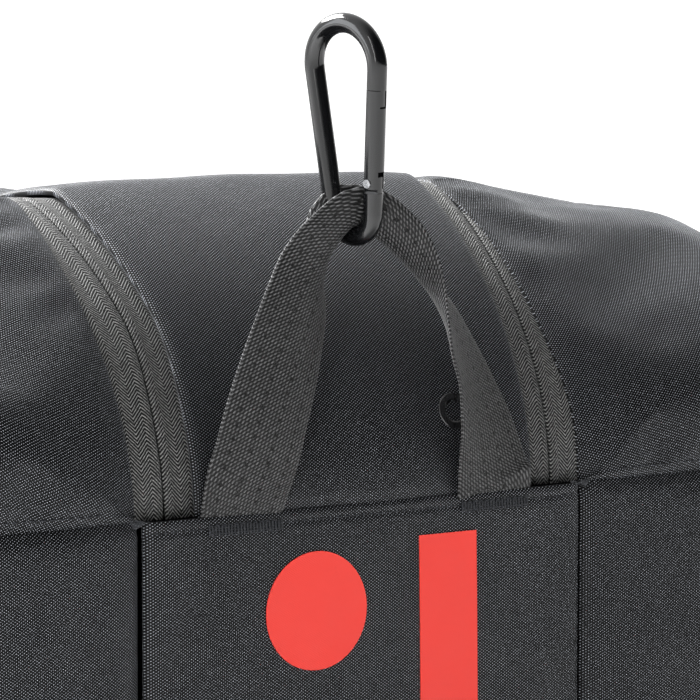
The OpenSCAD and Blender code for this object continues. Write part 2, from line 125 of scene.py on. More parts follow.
PROFILE = top_profile()
PROFILE_S = run_lengths(PROFILE)
PROFILE_TANGENT = unit(np.gradient(PROFILE, PROFILE_S, axis=0))
PROFILE_NORMAL = np.stack([-PROFILE_TANGENT[:, 1], PROFILE_TANGENT[:, 0]], 1)
MIDDLE_ROW = len(PROFILE) // 2


def smooth_step(x, a, b):
    """Smooth rise from 0 at a to 1 at b."""
    t = np.clip((np.asarray(x, float) - a) / (b - a), 0, 1)
    return t * t * (3 - 2 * t)


def fade(x, length):
    """1 at zero, falling off over about that length."""
    return np.exp(-x / length)


def bell(x, at, width):
    """1 at that place, falling off over about that width on either side."""
    return np.exp(-((x - at) / width) ** 2)


def eased(count):
    """Numbers from -1 to 1, closer together towards both ends."""
    return np.sin(np.linspace(-math.pi / 2, math.pi / 2, count))


def full_turn(count):
    """Even angles round a circle."""
    return np.linspace(0, 2 * math.pi, count, endpoint=False)


def pull_in(y):
    """How far the left zip is pulled towards the middle over the front shoulder."""
    return ASKEW * smooth_step(y, -HALF_L, -HALF_L + 35 * MM) * smooth_step(y, -300 * MM, -400 * MM)


def centre_edge(y, sign=1):
    """Half width of the centre panel at that place along the bag, on the left (-1) or the right (1)."""
    half = np.interp(-np.abs(y), EDGE_STATIONS[::-1], EDGE_HALVES[::-1])
    return half - (pull_in(y) if sign < 0 else 0)


def zip_show(rows, sign):
    """Width of zip left showing: the compartments' fabric leans over the tape towards the shoulders."""
    y = np.abs(PROFILE[rows, 0])
    from_seam = np.minimum(PROFILE_S[rows], PROFILE_S[-1] - PROFILE_S[rows])
    t = np.clip(from_seam / NARROW_RUN, 0, 1)
    narrow = (24.2 + 4.2 * t - 13.8 * t * t) * MM
    if sign > 0:
        lean = smooth_step(t, 0.1, 0.5) + 0.7 * smooth_step(from_seam, 130 * MM, 190 * MM)
        narrow = narrow - 4 * MM * lean
    wide = smooth_step(y, 420 * MM, 310 * MM)
    return narrow + (WIDE_SHOW - narrow) * wide + (pull_in(PROFILE[rows, 0]) if sign < 0 else 0)


# ---------------------------------------------------------------- mesh helpers


def new_object(name, verts, faces, materials, uvs=None, face_materials=None):
    """Mesh object from plain lists. uvs has one pair for each vertex, in metres of cloth."""
    mesh = bpy.data.meshes.new(name)
    mesh.from_pydata([tuple(v) for v in verts], [], [tuple(f) for f in faces])
    for material in materials:
        mesh.materials.append(material)
    if face_materials is not None:
        mesh.polygons.foreach_set("material_index", face_materials)
    if uvs is not None:
        layer = mesh.uv_layers.new(name="UVMap")
        loop_verts = np.empty(len(mesh.loops), np.int32)
        mesh.loops.foreach_get("vertex_index", loop_verts)
        layer.data.foreach_set("uv", np.asarray(uvs, np.float32)[loop_verts].ravel())
    mesh.polygons.foreach_set("use_smooth", [True] * len(mesh.polygons))
    mesh.update()
    obj = bpy.data.objects.new(name, mesh)
    bpy.context.scene.collection.objects.link(obj)
    return obj


def grid_faces(rows, cols, close_cols=False, start=0):
    """Quads of a grid of points stored row by row."""
    span = cols if close_cols else cols - 1
    return [(start + r * cols + c, start + r * cols + (c + 1) % cols,
             start + (r + 1) * cols + (c + 1) % cols, start + (r + 1) * cols + c)
            for r in range(rows - 1) for c in range(span)]


def grid_normals(grid):
    """Unit normal at each point of a (rows, cols, 3) grid, by differences along rows and columns."""
    along = np.gradient(grid, axis=0)
    across = np.gradient(grid, axis=1)
    normal = np.cross(across, along)
    length = np.linalg.norm(normal, axis=2, keepdims=True)
    return normal / np.maximum(length, 1e-12)


def cloth_panel(name, grid, uv, materials, thickness=FABRIC_T, flip=False, meets=None):
    """Closed sheet of the given thickness below an outer (rows, cols, 3) grid, with rounded rims.
    The outer face and the rims take the first material and the inner face takes the second.
    The row called meets has no rim, because the next piece carries on from it."""
    normal = grid_normals(grid) * (-1 if flip else 1)
    rows, cols = grid.shape[:2]
    inner = grid - normal * thickness
    outer_faces = grid_faces(rows, cols)
    inner_faces = [f[::-1] for f in grid_faces(rows, cols, start=rows * cols)]
    loop = ([(0, c) for c in range(cols)] + [(r, cols - 1) for r in range(1, rows)]
            + [(rows - 1, c) for c in range(cols - 2, -1, -1)] + [(r, 0) for r in range(rows - 2, 0, -1)])
    rim = []
    rim_uv = []
    for r, c in loop:
        r_in = min(max(r, 1), rows - 2)
        c_in = min(max(c, 1), cols - 2)
        away = grid[r, c] - grid[r_in, c_in]
        length = np.linalg.norm(away)
        away = away / length if length > 1e-9 else away
        rim.append((grid[r, c] + inner[r, c]) / 2 + away * thickness * 0.42)
        rim_uv.append(uv[r, c])
    verts = np.concatenate([grid.reshape(-1, 3), inner.reshape(-1, 3), np.array(rim)])
    uvs = np.concatenate([uv.reshape(-1, 2), uv.reshape(-1, 2), np.array(rim_uv)])
    rim_start = 2 * rows * cols
    rim_faces = []
    count = len(loop)
    for i in range(count):
        j = (i + 1) % count
        if loop[i][0] == loop[j][0] == meets:
            continue
        a, b = (r * cols + c for r, c in (loop[i], loop[j]))
        rim_faces.append((a, rim_start + i, rim_start + j, b))
        rim_faces.append((rim_start + i, a + rows * cols, b + rows * cols, rim_start + j))
    faces = outer_faces + inner_faces + rim_faces
    kinds = [0] * len(outer_faces) + [len(materials) - 1] * len(inner_faces) + [0] * len(rim_faces)
    if flip:
        faces = [f[::-1] for f in faces]
    obj = new_object(name, verts, faces, materials, uvs, kinds)
    weld(obj)
    return obj


def weld(obj, distance=1e-6):
    """Joins points that coincide and makes the normals agree."""
    bm = bmesh.new()
    bm.from_mesh(obj.data)
    bmesh.ops.remove_doubles(bm, verts=bm.verts, dist=distance)
    bmesh.ops.dissolve_degenerate(bm, edges=bm.edges, dist=1e-7)
    bmesh.ops.recalc_face_normals(bm, faces=bm.faces)
    bm.to_mesh(obj.data)
    bm.free()


def ribbon(name, centres, widths, normals, width, thickness, material, cups=None, cols=17):
    """Woven strap swept along centres. widths are unit vectors across it.
    cups are the angles, in radians, that it is bent through across its width."""
    centres, widths, normals = (np.asarray(a, float) for a in (centres, widths, normals))
    cups = np.zeros(len(centres)) if cups is None else np.asarray(cups, float)
    across = np.linspace(-width / 2, width / 2, cols)
    fine = np.linspace(-width / 2, width / 2, 8 * (cols - 1) + 1)
    step = fine[1] - fine[0]
    core = 0.21 * width
    turn = np.tanh(fine / core) / math.tanh(width / 2 / core)
    rings = []
    uvs = []
    s = run_lengths(centres)
    for i, centre in enumerate(centres):
        angle = turn * cups[i] / 2
        run_x = np.cumsum(np.cos(angle)) * step
        run_n = np.cumsum(np.sin(angle)) * step
        middle = len(fine) // 2
        x = (run_x - run_x[middle])[::8]
        n = (run_n - run_n[middle])[::8]
        slope = angle[::8]
        base = centre + x[:, None] * widths[i] + n[:, None] * normals[i]
        out = np.cos(slope)[:, None] * normals[i] - np.sin(slope)[:, None] * widths[i]
        edge = 1 - 0.55 * (np.abs(across) / (width / 2)) ** 14
        lift = thickness / 2 * edge[:, None]
        front = base + out * lift
        back = base - out * lift
        left = base[0] - (np.cos(slope[0]) * widths[i] + np.sin(slope[0]) * normals[i]) * thickness * 0.3
        right = base[-1] + (np.cos(slope[-1]) * widths[i] + np.sin(slope[-1]) * normals[i]) * thickness * 0.3
        rings.append(np.concatenate([front, [right], back[::-1], [left]]))
        v = np.full(cols, s[i])
        uvs.append(np.concatenate([np.stack([across, v], 1), [[width / 2, s[i]]],
                                   np.stack([across[::-1], v], 1), [[-width / 2, s[i]]]]))
    return tube_rings(name, rings, uvs, material)


def tube_faces(count, size, start=0):
    """Faces of a closed tube: count rings of size points each, with a cap at either end."""
    last = start + (count - 1) * size
    return grid_faces(count, size, close_cols=True, start=start) + [
        tuple(range(start, start + size))[::-1], tuple(range(last, last + size))]


def tube_rings(name, rings, uvs, material):
    """Closed skin through equal rings of points."""
    rings = np.asarray(rings)
    faces = tube_faces(*rings.shape[:2])
    obj = new_object(name, rings.reshape(-1, 3), faces, [material], np.asarray(uvs).reshape(-1, 2))
    bm = bmesh.new()
    bm.from_mesh(obj.data)
    bmesh.ops.recalc_face_normals(bm, faces=bm.faces)
    bm.to_mesh(obj.data)
    bm.free()
    return obj


def frames_along(points):
    """Two steady side vectors at each point of a line."""
    tangents = unit(np.gradient(points, axis=0))
    side = np.cross(tangents[0], [0.3, 0.2, 0.93])
    side /= np.linalg.norm(side)
    firsts = []
    for t in tangents:
        side = side - t * np.dot(side, t)
        side = side / np.linalg.norm(side)
        firsts.append(side)
    firsts = np.array(firsts)
    return firsts, np.cross(tangents, firsts)


def round_tube(name, points, radius, material, sides):
    """Thread or piping along a line of points."""
    points = np.asarray(points, float)
    turn = full_turn(sides)
    rings = [p + radius * (np.cos(turn)[:, None] * a + np.sin(turn)[:, None] * b)
             for p, a, b in zip(points, *frames_along(points))]
    uvs = [np.stack([turn * radius, np.full(sides, s)], 1) for s in run_lengths(points)]
    return tube_rings(name, rings, uvs, material)


def spaced(points, step):
    """Points at even steps along a line."""
    points = np.asarray(points, float)
    s = run_lengths(points)
    count = max(int(round(s[-1] / step)), 2)
    at = np.linspace(0, s[-1], count + 1)
    return np.stack([np.interp(at, s, points[:, k]) for k in range(points.shape[1])], 1)


def stitch_row(name, line, out, material, length=2.9 * MM, gap=0.8 * MM, radius=0.3 * MM, sides=5):
    """Row of separate thread loops along a line. out points away from the cloth at each point."""
    line, out = np.asarray(line, float), np.asarray(out, float)
    s = run_lengths(line)
    verts = []
    faces = []
    at = gap
    share = np.array([0, 0.16, 0.5, 0.84, 1])
    lift = np.array([-0.9, 0.35, 0.6, 0.35, -0.9]) * radius
    thick = np.array([0.55, 1, 1.05, 1, 0.55]) * radius
    turn = full_turn(sides)
    while at + length < s[-1]:
        places = at + share * length
        mids = np.stack([np.interp(places, s, line[:, k]) for k in range(3)], 1)
        normal = np.array([np.interp(places[2], s, out[:, k]) for k in range(3)])
        normal /= np.linalg.norm(normal)
        along = mids[-1] - mids[0]
        along /= max(np.linalg.norm(along), 1e-9)
        side = np.cross(along, normal)
        start = len(verts)
        for mid, rise, reach in zip(mids, lift, thick):
            centre = mid + normal * rise
            verts += [centre + reach * (math.cos(a) * side + math.sin(a) * normal) for a in turn]
        faces += tube_faces(len(share), sides, start)
        at += length + gap
    obj = new_object(name, verts, faces, [material])
    weld(obj, 1e-9)
    return obj


def joined(name, parts):
    """One object from several."""
    bpy.ops.object.select_all(action="DESELECT")
    for part in parts:
        part.select_set(True)
    bpy.context.view_layer.objects.active = parts[0]
    bpy.ops.object.join()
    parts[0].name = name
    parts[0].data.name = name
    return parts[0]


def settle(grid, pinned, grow, pressure, cap):
    """Cloth simulation of one grid: pinned points stay, the rest swells and puckers by at most cap."""
    rows, cols = grid.shape[:2]
    obj = new_object("settling", grid.reshape(-1, 3), grid_faces(rows, cols), [])
    group = obj.vertex_groups.new(name="pin")
    group.add([int(i) for i in np.flatnonzero(pinned.ravel())], 1.0, "REPLACE")
    cloth = obj.modifiers.new("cloth", "CLOTH")
    cloth.settings.vertex_group_mass = "pin"
    cloth.settings.shrink_min = -grow
    cloth.settings.quality = 5
    cloth.settings.mass = 0.2
    cloth.settings.tension_stiffness = 25
    cloth.settings.compression_stiffness = 25
    cloth.settings.shear_stiffness = 10
    cloth.settings.bending_stiffness = 6
    cloth.settings.air_damping = 4
    cloth.settings.use_pressure = True
    cloth.settings.uniform_pressure_force = pressure
    cloth.settings.effector_weights.gravity = 0
    cloth.collision_settings.use_collision = False
    scene = bpy.context.scene
    for step in range(1, SETTLE_FRAMES + 1):
        scene.frame_set(step)
    found = obj.evaluated_get(bpy.context.evaluated_depsgraph_get()).to_mesh()
    moved = np.empty(len(found.vertices) * 3)
    found.vertices.foreach_get("co", moved)
    scene.frame_set(1)
    bpy.data.objects.remove(obj)
    shift = moved.reshape(grid.shape) - grid
    size = np.linalg.norm(shift, axis=2, keepdims=True)
    return grid + shift * np.minimum(1, cap / np.maximum(size, 1e-9))


def laid_flat(grid, level_rows):
    """Cloth coordinates of a grid with little stretch. Its last column runs along -u between those rows."""
    rows, cols = grid.shape[:2]
    obj = new_object("laid_flat", grid.reshape(-1, 3), grid_faces(rows, cols), [])
    mesh = obj.data
    mesh.uv_layers.new(name="UVMap")
    bpy.context.view_layer.objects.active = obj
    obj.select_set(True)
    bpy.ops.object.mode_set(mode="EDIT")
    bpy.ops.mesh.select_all(action="SELECT")
    bpy.ops.uv.unwrap(method="MINIMUM_STRETCH", iterations=12)
    bpy.ops.object.mode_set(mode="OBJECT")
    corners = np.empty(len(mesh.loops), int)
    mesh.loops.foreach_get("vertex_index", corners)
    found = np.empty(2 * len(mesh.loops))
    mesh.uv_layers.active.data.foreach_get("uv", found)
    flat = np.empty((rows * cols, 2))
    flat[corners] = found.reshape(-1, 2)
    flat = flat.reshape(rows, cols, 2)
    bpy.data.objects.remove(obj)
    flat *= run_lengths(grid[:, -1])[-1] / run_lengths(flat[:, -1])[-1]
    first, last = level_rows
    along = flat[first, -1] - flat[last, -1]
    along /= np.linalg.norm(along)
    up = np.array([-along[1], along[0]])
    up *= np.sign(np.dot(flat[last, cols // 2] - flat[last, -1], up))
    return np.stack([flat @ along, flat @ up], 2)


# ---------------------------------------------------------------- materials


class Graph:
    """Small helper to wire a procedural material."""

    def __init__(self, name, **settings):
        self.material = bpy.data.materials.new(name)
        self.material.use_nodes = True
        self.nodes = self.material.node_tree.nodes
        self.links = self.material.node_tree.links
        self.shader = self.nodes["Principled BSDF"]
        for socket, value in settings.items():
            self.shader.inputs[socket.replace("_", " ")].default_value = value

    def add(self, kind, **settings):
        node = self.nodes.new(kind)
        for key, value in settings.items():
            setattr(node, key, value)
        return node

    def put(self, node, socket, value):
        if isinstance(value, bpy.types.NodeSocket):
            self.links.new(value, node.inputs[socket])
        else:
            node.inputs[socket].default_value = value

    def math(self, operation, a, b=0.0, clamp=False):
        node = self.add("ShaderNodeMath", operation=operation, use_clamp=clamp)
        self.put(node, 0, a)
        self.put(node, 1, b)
        return node.outputs[0]

    def times(self, a, b, clamp=False):
        return self.math("MULTIPLY", a, b, clamp)

    def plus(self, a, b):
        return self.math("ADD", a, b)

    def uv(self):
        split = self.add("ShaderNodeSeparateXYZ")
        self.links.new(self.add("ShaderNodeUVMap").outputs[0], split.inputs[0])
        return split.outputs[0], split.outputs[1]

    def place(self):
        return self.add("ShaderNodeTexCoord").outputs["Object"]

    def noise(self, scale, detail=3.0, coords=None):
        node = self.add("ShaderNodeTexNoise")
        node.inputs["Scale"].default_value = scale
        node.inputs["Detail"].default_value = detail
        node.inputs["Roughness"].default_value = 0.55
        self.links.new(coords or self.place(), node.inputs["Vector"])
        return node.outputs[0]

    def span(self, value, low, high, out_low=0.0, out_high=1.0):
        node = self.add("ShaderNodeMapRange", interpolation_type="SMOOTHSTEP")
        for socket, item in zip(("Value", "From Min", "From Max", "To Min", "To Max"),
                                (value, low, high, out_low, out_high)):
            self.put(node, socket, item)
        return node.outputs[0]

    def mix(self, share, a, b):
        node = self.add("ShaderNodeMix", data_type="RGBA")
        self.put(node, 0, share)
        self.put(node, 6, a)
        self.put(node, 7, b)
        return node.outputs[2]

    def colour(self, value):
        self.put(self.shader, "Base Color", value)

    def roughness(self, value):
        self.put(self.shader, "Roughness", value)

    def uneven_roughness(self, scale, detail, low, high):
        self.roughness(self.span(self.noise(scale, detail), 0.3, 0.7, low, high))

    def bump(self, height, distance):
        node = self.add("ShaderNodeBump")
        node.inputs["Distance"].default_value = distance
        node.inputs["Strength"].default_value = 1.0
        self.links.new(height, node.inputs["Height"])
        self.links.new(node.outputs[0], self.shader.inputs["Normal"])


def rgba(r, g, b):
    return (r, g, b, 1.0)


def woven(name, dark, light, pitch=(0.82 * MM, 0.56 * MM), slant=0.64, sheen=0.12, depth=0.34 * MM):
    """Plain-woven nylon. The thread crossings carry painted highlights, light spots in slanting rows on a
    dark ground; the same spots raise the bump.
    """
    g = Graph(name, Sheen_Weight=sheen, Sheen_Roughness=0.4, Specular_IOR_Level=0.24)
    g.shader.inputs["Sheen Tint"].default_value = rgba(0.92, 0.95, 1.0)
    u, v = g.uv()
    warp = g.times(u, math.pi / pitch[0])
    weft = g.times(v, math.pi / pitch[1])
    wander = g.times(g.noise(260, 2), 0.5)
    rising = g.math("COSINE", g.plus(g.math("SUBTRACT", warp, weft), wander))
    falling = g.math("COSINE", g.plus(warp, weft))
    pattern = g.plus(g.times(rising, slant), g.times(falling, 1 - slant))
    highlight_dots = g.span(pattern, 0.5, 0.95)
    uneven = g.span(g.noise(900, 2), 0.3, 0.7, 0.75, 1.15)
    patch = g.span(g.noise(9, 4), 0.3, 0.72, 0.82, 1.12)
    lit = g.times(g.times(highlight_dots, uneven), patch, clamp=True)
    # Mixing towards the light colour paints highlights on the thread crossings.
    g.colour(g.mix(lit, dark, light))
    g.uneven_roughness(40, 3, 0.44, 0.6)
    g.bump(g.plus(highlight_dots, g.times(g.noise(60, 3), 0.6)), depth)
    return g.material


def webbing(name, dark, light):
    """Heavy webbing: lengthwise columns crossed by slanting yarns, with rows of small holes. Its colour
    follows the relief: painted highlight on the yarn crests, painted shade in the grooves and the holes.
    """
    column_w = 1.39 * MM
    slope = (1.69 * MM, 1.59 * MM)
    pins = (7.9 * MM, 5.3 * MM)
    g = Graph(name, Sheen_Weight=0.12, Sheen_Roughness=0.4, Specular_IOR_Level=0.36)
    u, v = g.uv()
    column = g.math("COSINE", g.times(u, 2 * math.pi / column_w))
    phase = g.math("SUBTRACT", g.math("DIVIDE", u, slope[0]), g.math("DIVIDE", v, slope[1]))
    wander = g.times(g.noise(420, 2), 0.3)
    yarn = g.math("COSINE", g.times(g.plus(phase, wander), 2 * math.pi))
    pattern = g.plus(g.times(column, 0.45), g.times(yarn, 0.55))
    across = g.math("PINGPONG", g.plus(u, pins[0] / 2), pins[0] / 2)
    along = g.math("PINGPONG", g.plus(v, g.times(u, 0.35)), pins[1] / 2)
    hole_sizes = (0.45 * MM, 0.9 * MM, 1, 0)
    # The pinholes sink the bump and are painted dark as shade.
    hole = g.times(g.span(across, *hole_sizes), g.span(along, *hole_sizes))
    height = g.math("SUBTRACT", g.span(pattern, -0.25, 0.9), hole)
    uneven = g.span(g.noise(700, 2), 0.3, 0.7, 0.5, 1.3)
    # Painted highlight on the crests and painted shade in the grooves and pinholes, following the bump's
    # height.
    g.colour(g.mix(g.times(height, uneven, clamp=True), dark, light))
    g.uneven_roughness(50, 3, 0.42, 0.58)
    g.bump(height, 0.5 * MM)
    return g.material


def herringbone(name, dark, light):
    """Zip tape: columns of slanting yarns that meet in chevrons. Its colour follows the relief: painted
    highlight on the yarn strokes, painted shade between them.
    """
    column_w = 3.9 * MM
    pick = 1.55 * MM
    g = Graph(name, Sheen_Weight=0.15, Sheen_Roughness=0.45, Specular_IOR_Level=0.36)
    u, v = g.uv()
    zigzag = g.math("PINGPONG", g.math("DIVIDE", u, column_w), 1.0)
    phase = g.plus(g.math("DIVIDE", v, pick), g.times(zigzag, column_w / pick * 1.15))
    wander = g.times(g.noise(500, 2), 0.3)
    yarn = g.math("COSINE", g.times(g.plus(phase, wander), 2 * math.pi))
    stroke = g.span(yarn, -0.1, 0.95)
    fine = g.math("SINE", g.times(u, 2 * math.pi / (0.55 * MM)))
    height = g.times(stroke, g.span(fine, -4, 1))
    uneven = g.span(g.noise(800, 2), 0.3, 0.7, 0.55, 1.3)
    # Painted highlight on the strokes and painted shade between them, following the bump's height.
    g.colour(g.mix(g.times(height, uneven, clamp=True), dark, light))
    g.uneven_roughness(60, 3, 0.5, 0.64)
    g.bump(height, 0.35 * MM)
    return g.material


def thread(name, dark, light):
    g = Graph(name, Sheen_Weight=0.15, Sheen_Roughness=0.4, Specular_IOR_Level=0.5)
    g.colour(g.mix(g.noise(900, 2), dark, light))
    g.uneven_roughness(600, 2, 0.3, 0.5)
    g.bump(g.noise(2600, 2), 0.08 * MM)
    return g.material


def hardware(name, colour, rough, scratch=0.1, metallic=0.0, ior=1.5):
    """Painted, anodised or plated metal, with fine scratches and a slightly uneven surface."""
    g = Graph(name, Metallic=metallic, IOR=ior)
    stretched = g.add("ShaderNodeMapping")
    stretched.inputs["Scale"].default_value = (1, 1, 0.12)
    g.links.new(g.place(), stretched.inputs["Vector"])
    lines = g.noise(420, 4, stretched.outputs[0])
    worn = g.span(g.noise(70, 4), 0.62, 0.78)
    pale = tuple(min(1, c * 1.9 + 0.01) for c in colour)
    g.colour(g.mix(g.times(worn, 0.5), rgba(*colour), rgba(*pale)))
    g.roughness(g.span(lines, 0.35, 0.7, rough, rough + scratch))
    g.bump(lines, 0.02 * MM)
    return g.material


def moulded(name, colour, rough=0.5, grain=1400):
    """Moulded plastic with a fine pebbled texture and scuffs."""
    g = Graph(name, Specular_IOR_Level=0.45)
    scuff = g.span(g.noise(30, 5), 0.58, 0.75)
    pale = tuple(c * 1.8 + 0.012 for c in colour)
    g.colour(g.mix(scuff, rgba(*colour), rgba(*pale)))
    g.roughness(g.span(scuff, 0, 1, rough, rough + 0.2))
    g.bump(g.noise(grain, 2), 0.06 * MM)
    return g.material


def print_material(name, colour):
    """Thick rubbery print, which follows the weave under it and has worn a little at random."""
    g = Graph(name, Specular_IOR_Level=0.35)
    u, v = g.uv()
    slanting = g.plus(u, g.times(v, 1.5))
    ribs = g.math("SINE", g.times(slanting, 2 * math.pi / (1.3 * MM)))
    worn = g.span(g.noise(160, 4), 0.66, 0.8, 0, 0.25)
    deep = tuple(c * 0.72 for c in colour)
    g.colour(g.mix(worn, rgba(*colour), rgba(*deep)))
    g.uneven_roughness(90, 3, 0.38, 0.55)
    g.bump(g.plus(g.times(ribs, 0.35), g.noise(500, 2)), 0.05 * MM)
    return g.material


# The second colour of each woven fabric is its painted highlight on the thread crossings.
SHELL = woven("shell_nylon", rgba(0.0002, 0.0003, 0.0006), rgba(0.66, 0.69, 0.76))
LINING = woven("lining_nylon", rgba(0.03, 0.032, 0.036), rgba(0.13, 0.135, 0.145),
               pitch=(0.6 * MM, 0.6 * MM), slant=0.5, sheen=0.15, depth=0.08 * MM)
# The webbing's second colour is painted highlight on its yarn crests.
WEBBING = webbing("strap_webbing", rgba(0.0005, 0.0005, 0.0006), rgba(0.18, 0.18, 0.183))
# The tape's second colour is painted highlight on its yarn strokes.
TAPE = herringbone("zip_tape_weave", rgba(0.0006, 0.0006, 0.0007), rgba(0.42, 0.42, 0.41))
COIL = moulded("coil_nylon", (0.012, 0.012, 0.013), 0.35)
THREAD = thread("black_thread", rgba(0.004, 0.005, 0.008), rgba(0.02, 0.023, 0.03))
TAPE_THREAD = thread("tape_thread", rgba(0.02, 0.02, 0.021), rgba(0.12, 0.12, 0.12))
PRINT = print_material("red_print", (1.0, 0.06, 0.045))
GRIP = woven("grip_fabric", rgba(0.001, 0.0012, 0.0014), rgba(0.16, 0.17, 0.18),
             pitch=(1.1 * MM, 1.1 * MM), slant=0.5, sheen=0.3)
ANODISED = hardware("black_anodised", (0.0022, 0.0024, 0.003), 0.1, 0.06, ior=1.6)
BLACK_METAL = hardware("black_plated", (0.008, 0.008, 0.009), 0.2, 0.14, ior=1.7)
STEEL = hardware("bare_steel", (0.55, 0.55, 0.56), 0.22, 0.2, metallic=1.0)
RUNNER = moulded("runner_plastic", (0.012, 0.012, 0.013), 0.5, 900)
BOARD = moulded("board_plastic", (0.14, 0.145, 0.15), 0.55, 500)

# ---------------------------------------------------------------- camera, floor and light

AZIMUTH, ELEVATION = math.radians(-34), math.radians(8)
DISTANCE = 1.5
AIM_UP, AIM_LEFT = math.radians(2.141), math.radians(0.283)


def make_camera():
    target = Vector((0, FRONT_Y, centre_lo.z))
    back = Vector((math.sin(AZIMUTH) * math.cos(ELEVATION), -math.cos(AZIMUTH) * math.cos(ELEVATION),
                   math.sin(ELEVATION)))
    right = Vector((math.cos(AZIMUTH), math.sin(AZIMUTH), 0))
    up = back.cross(right)
    data = bpy.data.cameras.new("camera")
    data.sensor_width = 36
    data.lens = 208.3
    data.clip_end = 60
    camera = bpy.data.objects.new("camera", data)
    camera.location = target + back * DISTANCE
    aim = -back + up * math.tan(AIM_UP) - right * math.tan(AIM_LEFT)
    camera.rotation_euler = aim.to_track_quat("-Z", "Y").to_euler()
    bpy.context.scene.collection.objects.link(camera)
    bpy.context.scene.camera = camera


def area_light(name, place, aim, size, power, colour=(1, 1, 1)):
    data = bpy.data.lights.new(name, "AREA")
    data.shape = "RECTANGLE"
    data.size, data.size_y = size
    data.energy = power
    data.color = colour
    light = bpy.data.objects.new(name, data)
    light.location = place
    light.rotation_euler = (Vector(aim) - Vector(place)).to_track_quat("-Z", "Y").to_euler()
    bpy.context.scene.collection.objects.link(light)


def make_stage():
    size = 30
    floor = new_object("floor", [(-size, -size, 0), (size, -size, 0), (size, size, 0), (-size, size, 0)],
                       [(0, 1, 2, 3)], [])
    g = Graph("pale_floor")
    g.colour(g.mix(g.noise(3, 4), rgba(0.93, 0.93, 0.93), rgba(0.9, 0.9, 0.9)))
    g.roughness(0.7)
    reach = g.add("ShaderNodeVectorMath", operation="LENGTH")
    g.links.new(g.place(), reach.inputs[0])
    g.shader.inputs["Emission Color"].default_value = rgba(1, 1, 1)
    g.put(g.shader, "Emission Strength", g.span(reach.outputs["Value"], 1.0, 4.0, 0.0, 0.55))
    floor.data.materials.append(g.material)
    area_light("top_light", (-0.7, 1.5, 2.2), (0, -0.2, 0.35), (2.0, 1.4), 265)
    area_light("left_box", (-1.5, 0.05, 0.9), (0, -0.5, 0.44), (0.9, 1.2), 13, (0.93, 0.96, 1.0))
    area_light("right_box", (1.5, -0.2, 0.9), (0, -0.5, 0.44), (0.5, 1.2), 1)
    area_light("streak_box", (-1.1, -1.5, 1.0), (0, -0.5, 0.5), (0.12, 1.2), 3.5)
    bpy.context.scene.view_settings.view_transform = "Standard"


def make_world():
    """White studio walls behind the bag and to its left, falling off to grey in front and to the right."""
    world = bpy.data.worlds.new("studio")
    bpy.context.scene.world = world
    world.use_nodes = True
    nodes, links = world.node_tree.nodes, world.node_tree.links
    facing = nodes.new("ShaderNodeVectorMath")
    facing.operation = "DOT_PRODUCT"
    facing.inputs[1].default_value = (-0.5, 0.87, 0)
    links.new(nodes.new("ShaderNodeTexCoord").outputs["Generated"], facing.inputs[0])
    level = nodes.new("ShaderNodeMapRange")
    level.interpolation_type = "SMOOTHSTEP"
    links.new(facing.outputs["Value"], level.inputs["Value"])
    for socket, value in (("From Min", -0.7), ("From Max", 0.4), ("To Min", 0.04), ("To Max", 1.15)):
        level.inputs[socket].default_value = value
    background = nodes["Background"]
    background.inputs["Color"].default_value = rgba(1, 1, 1)
    links.new(level.outputs[0], background.inputs["Strength"])


make_camera()
make_stage()
make_world()

# ---------------------------------------------------------------- centre panel


def strip(rows, x, lift):
    """Grid of points over the top: x and lift are (rows, cols) arrays."""
    place = np.empty(x.shape + (3,))
    place[..., 0] = x
    place[..., 1] = PROFILE[rows, 0][:, None] + PROFILE_NORMAL[rows, 0][:, None] * lift
    place[..., 2] = PROFILE[rows, 1][:, None] + PROFILE_NORMAL[rows, 1][:, None] * lift
    return place


ALL_ROWS = np.arange(len(PROFILE))
CROWN = 1.6 * MM


def slow_noise(seed, count, length, step):
    """Smooth random curve of unit size: count samples, a bend about every length, step apart."""
    rng = random.Random(seed)
    knots = [rng.uniform(-1, 1) for _ in range(int(count * step / length) + 4)]
    at = np.arange(count) * step / length
    low = at.astype(int)
    t = at - low
    t = t * t * (3 - 2 * t)
    knots = np.array(knots)
    return knots[low] * (1 - t) + knots[low + 1] * t


def make_centre():
    share = eased(47)
    half = np.where(share[None, :] < 0, centre_edge(PROFILE[:, 0], -1)[:, None],
                    centre_edge(PROFILE[:, 0])[:, None])
    x = half * share[None, :]
    from_edge = half - np.abs(x)
    roll = -1.5 * MM * fade(from_edge, 1.3 * MM)
    crown = CROWN * (1 - share[None, :] ** 2)
    ripple = 0.35 * MM * np.sin(share * 9 + 1)[None, :] * slow_noise(5, len(x), 60 * MM, 6 * MM)[:, None]
    grid = strip(ALL_ROWS, x, roll + crown + ripple)
    uv = np.stack([x, np.broadcast_to(PROFILE_S[:, None], x.shape)], 2)
    panel = cloth_panel("centre_panel_fabric", grid, uv, [SHELL, LINING], 2.2 * MM)
    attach(panel, "shell")
    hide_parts("centre_top_panel")


# ---------------------------------------------------------------- compartments


def ring_point(s):
    """Outer face of the left wall in plan, at distance s from the groove beside the front panel.
    Gives the place (x, y) and the outward direction (x, y)."""
    run = HALF_W - CORNER_R - LOWER_HALF
    arc = CORNER_R * math.pi / 2
    side = 2 * (HALF_L - CORNER_R)
    if s > run + arc + side / 2:
        x, y, nx, ny = ring_point(2 * (run + arc) + side - s)
        return x, -y, nx, -ny
    if s < run:
        return -LOWER_HALF - s, -HALF_L, 0, -1
    if s < run + arc:
        turn = (s - run) / CORNER_R
        cx, cy = CORNER_R - HALF_W, CORNER_R - HALF_L
        nx, ny = -math.sin(turn), -math.cos(turn)
        return cx + CORNER_R * nx, cy + CORNER_R * ny, nx, ny
    return -HALF_W, CORNER_R - HALF_L + s - run - arc, -1, 0


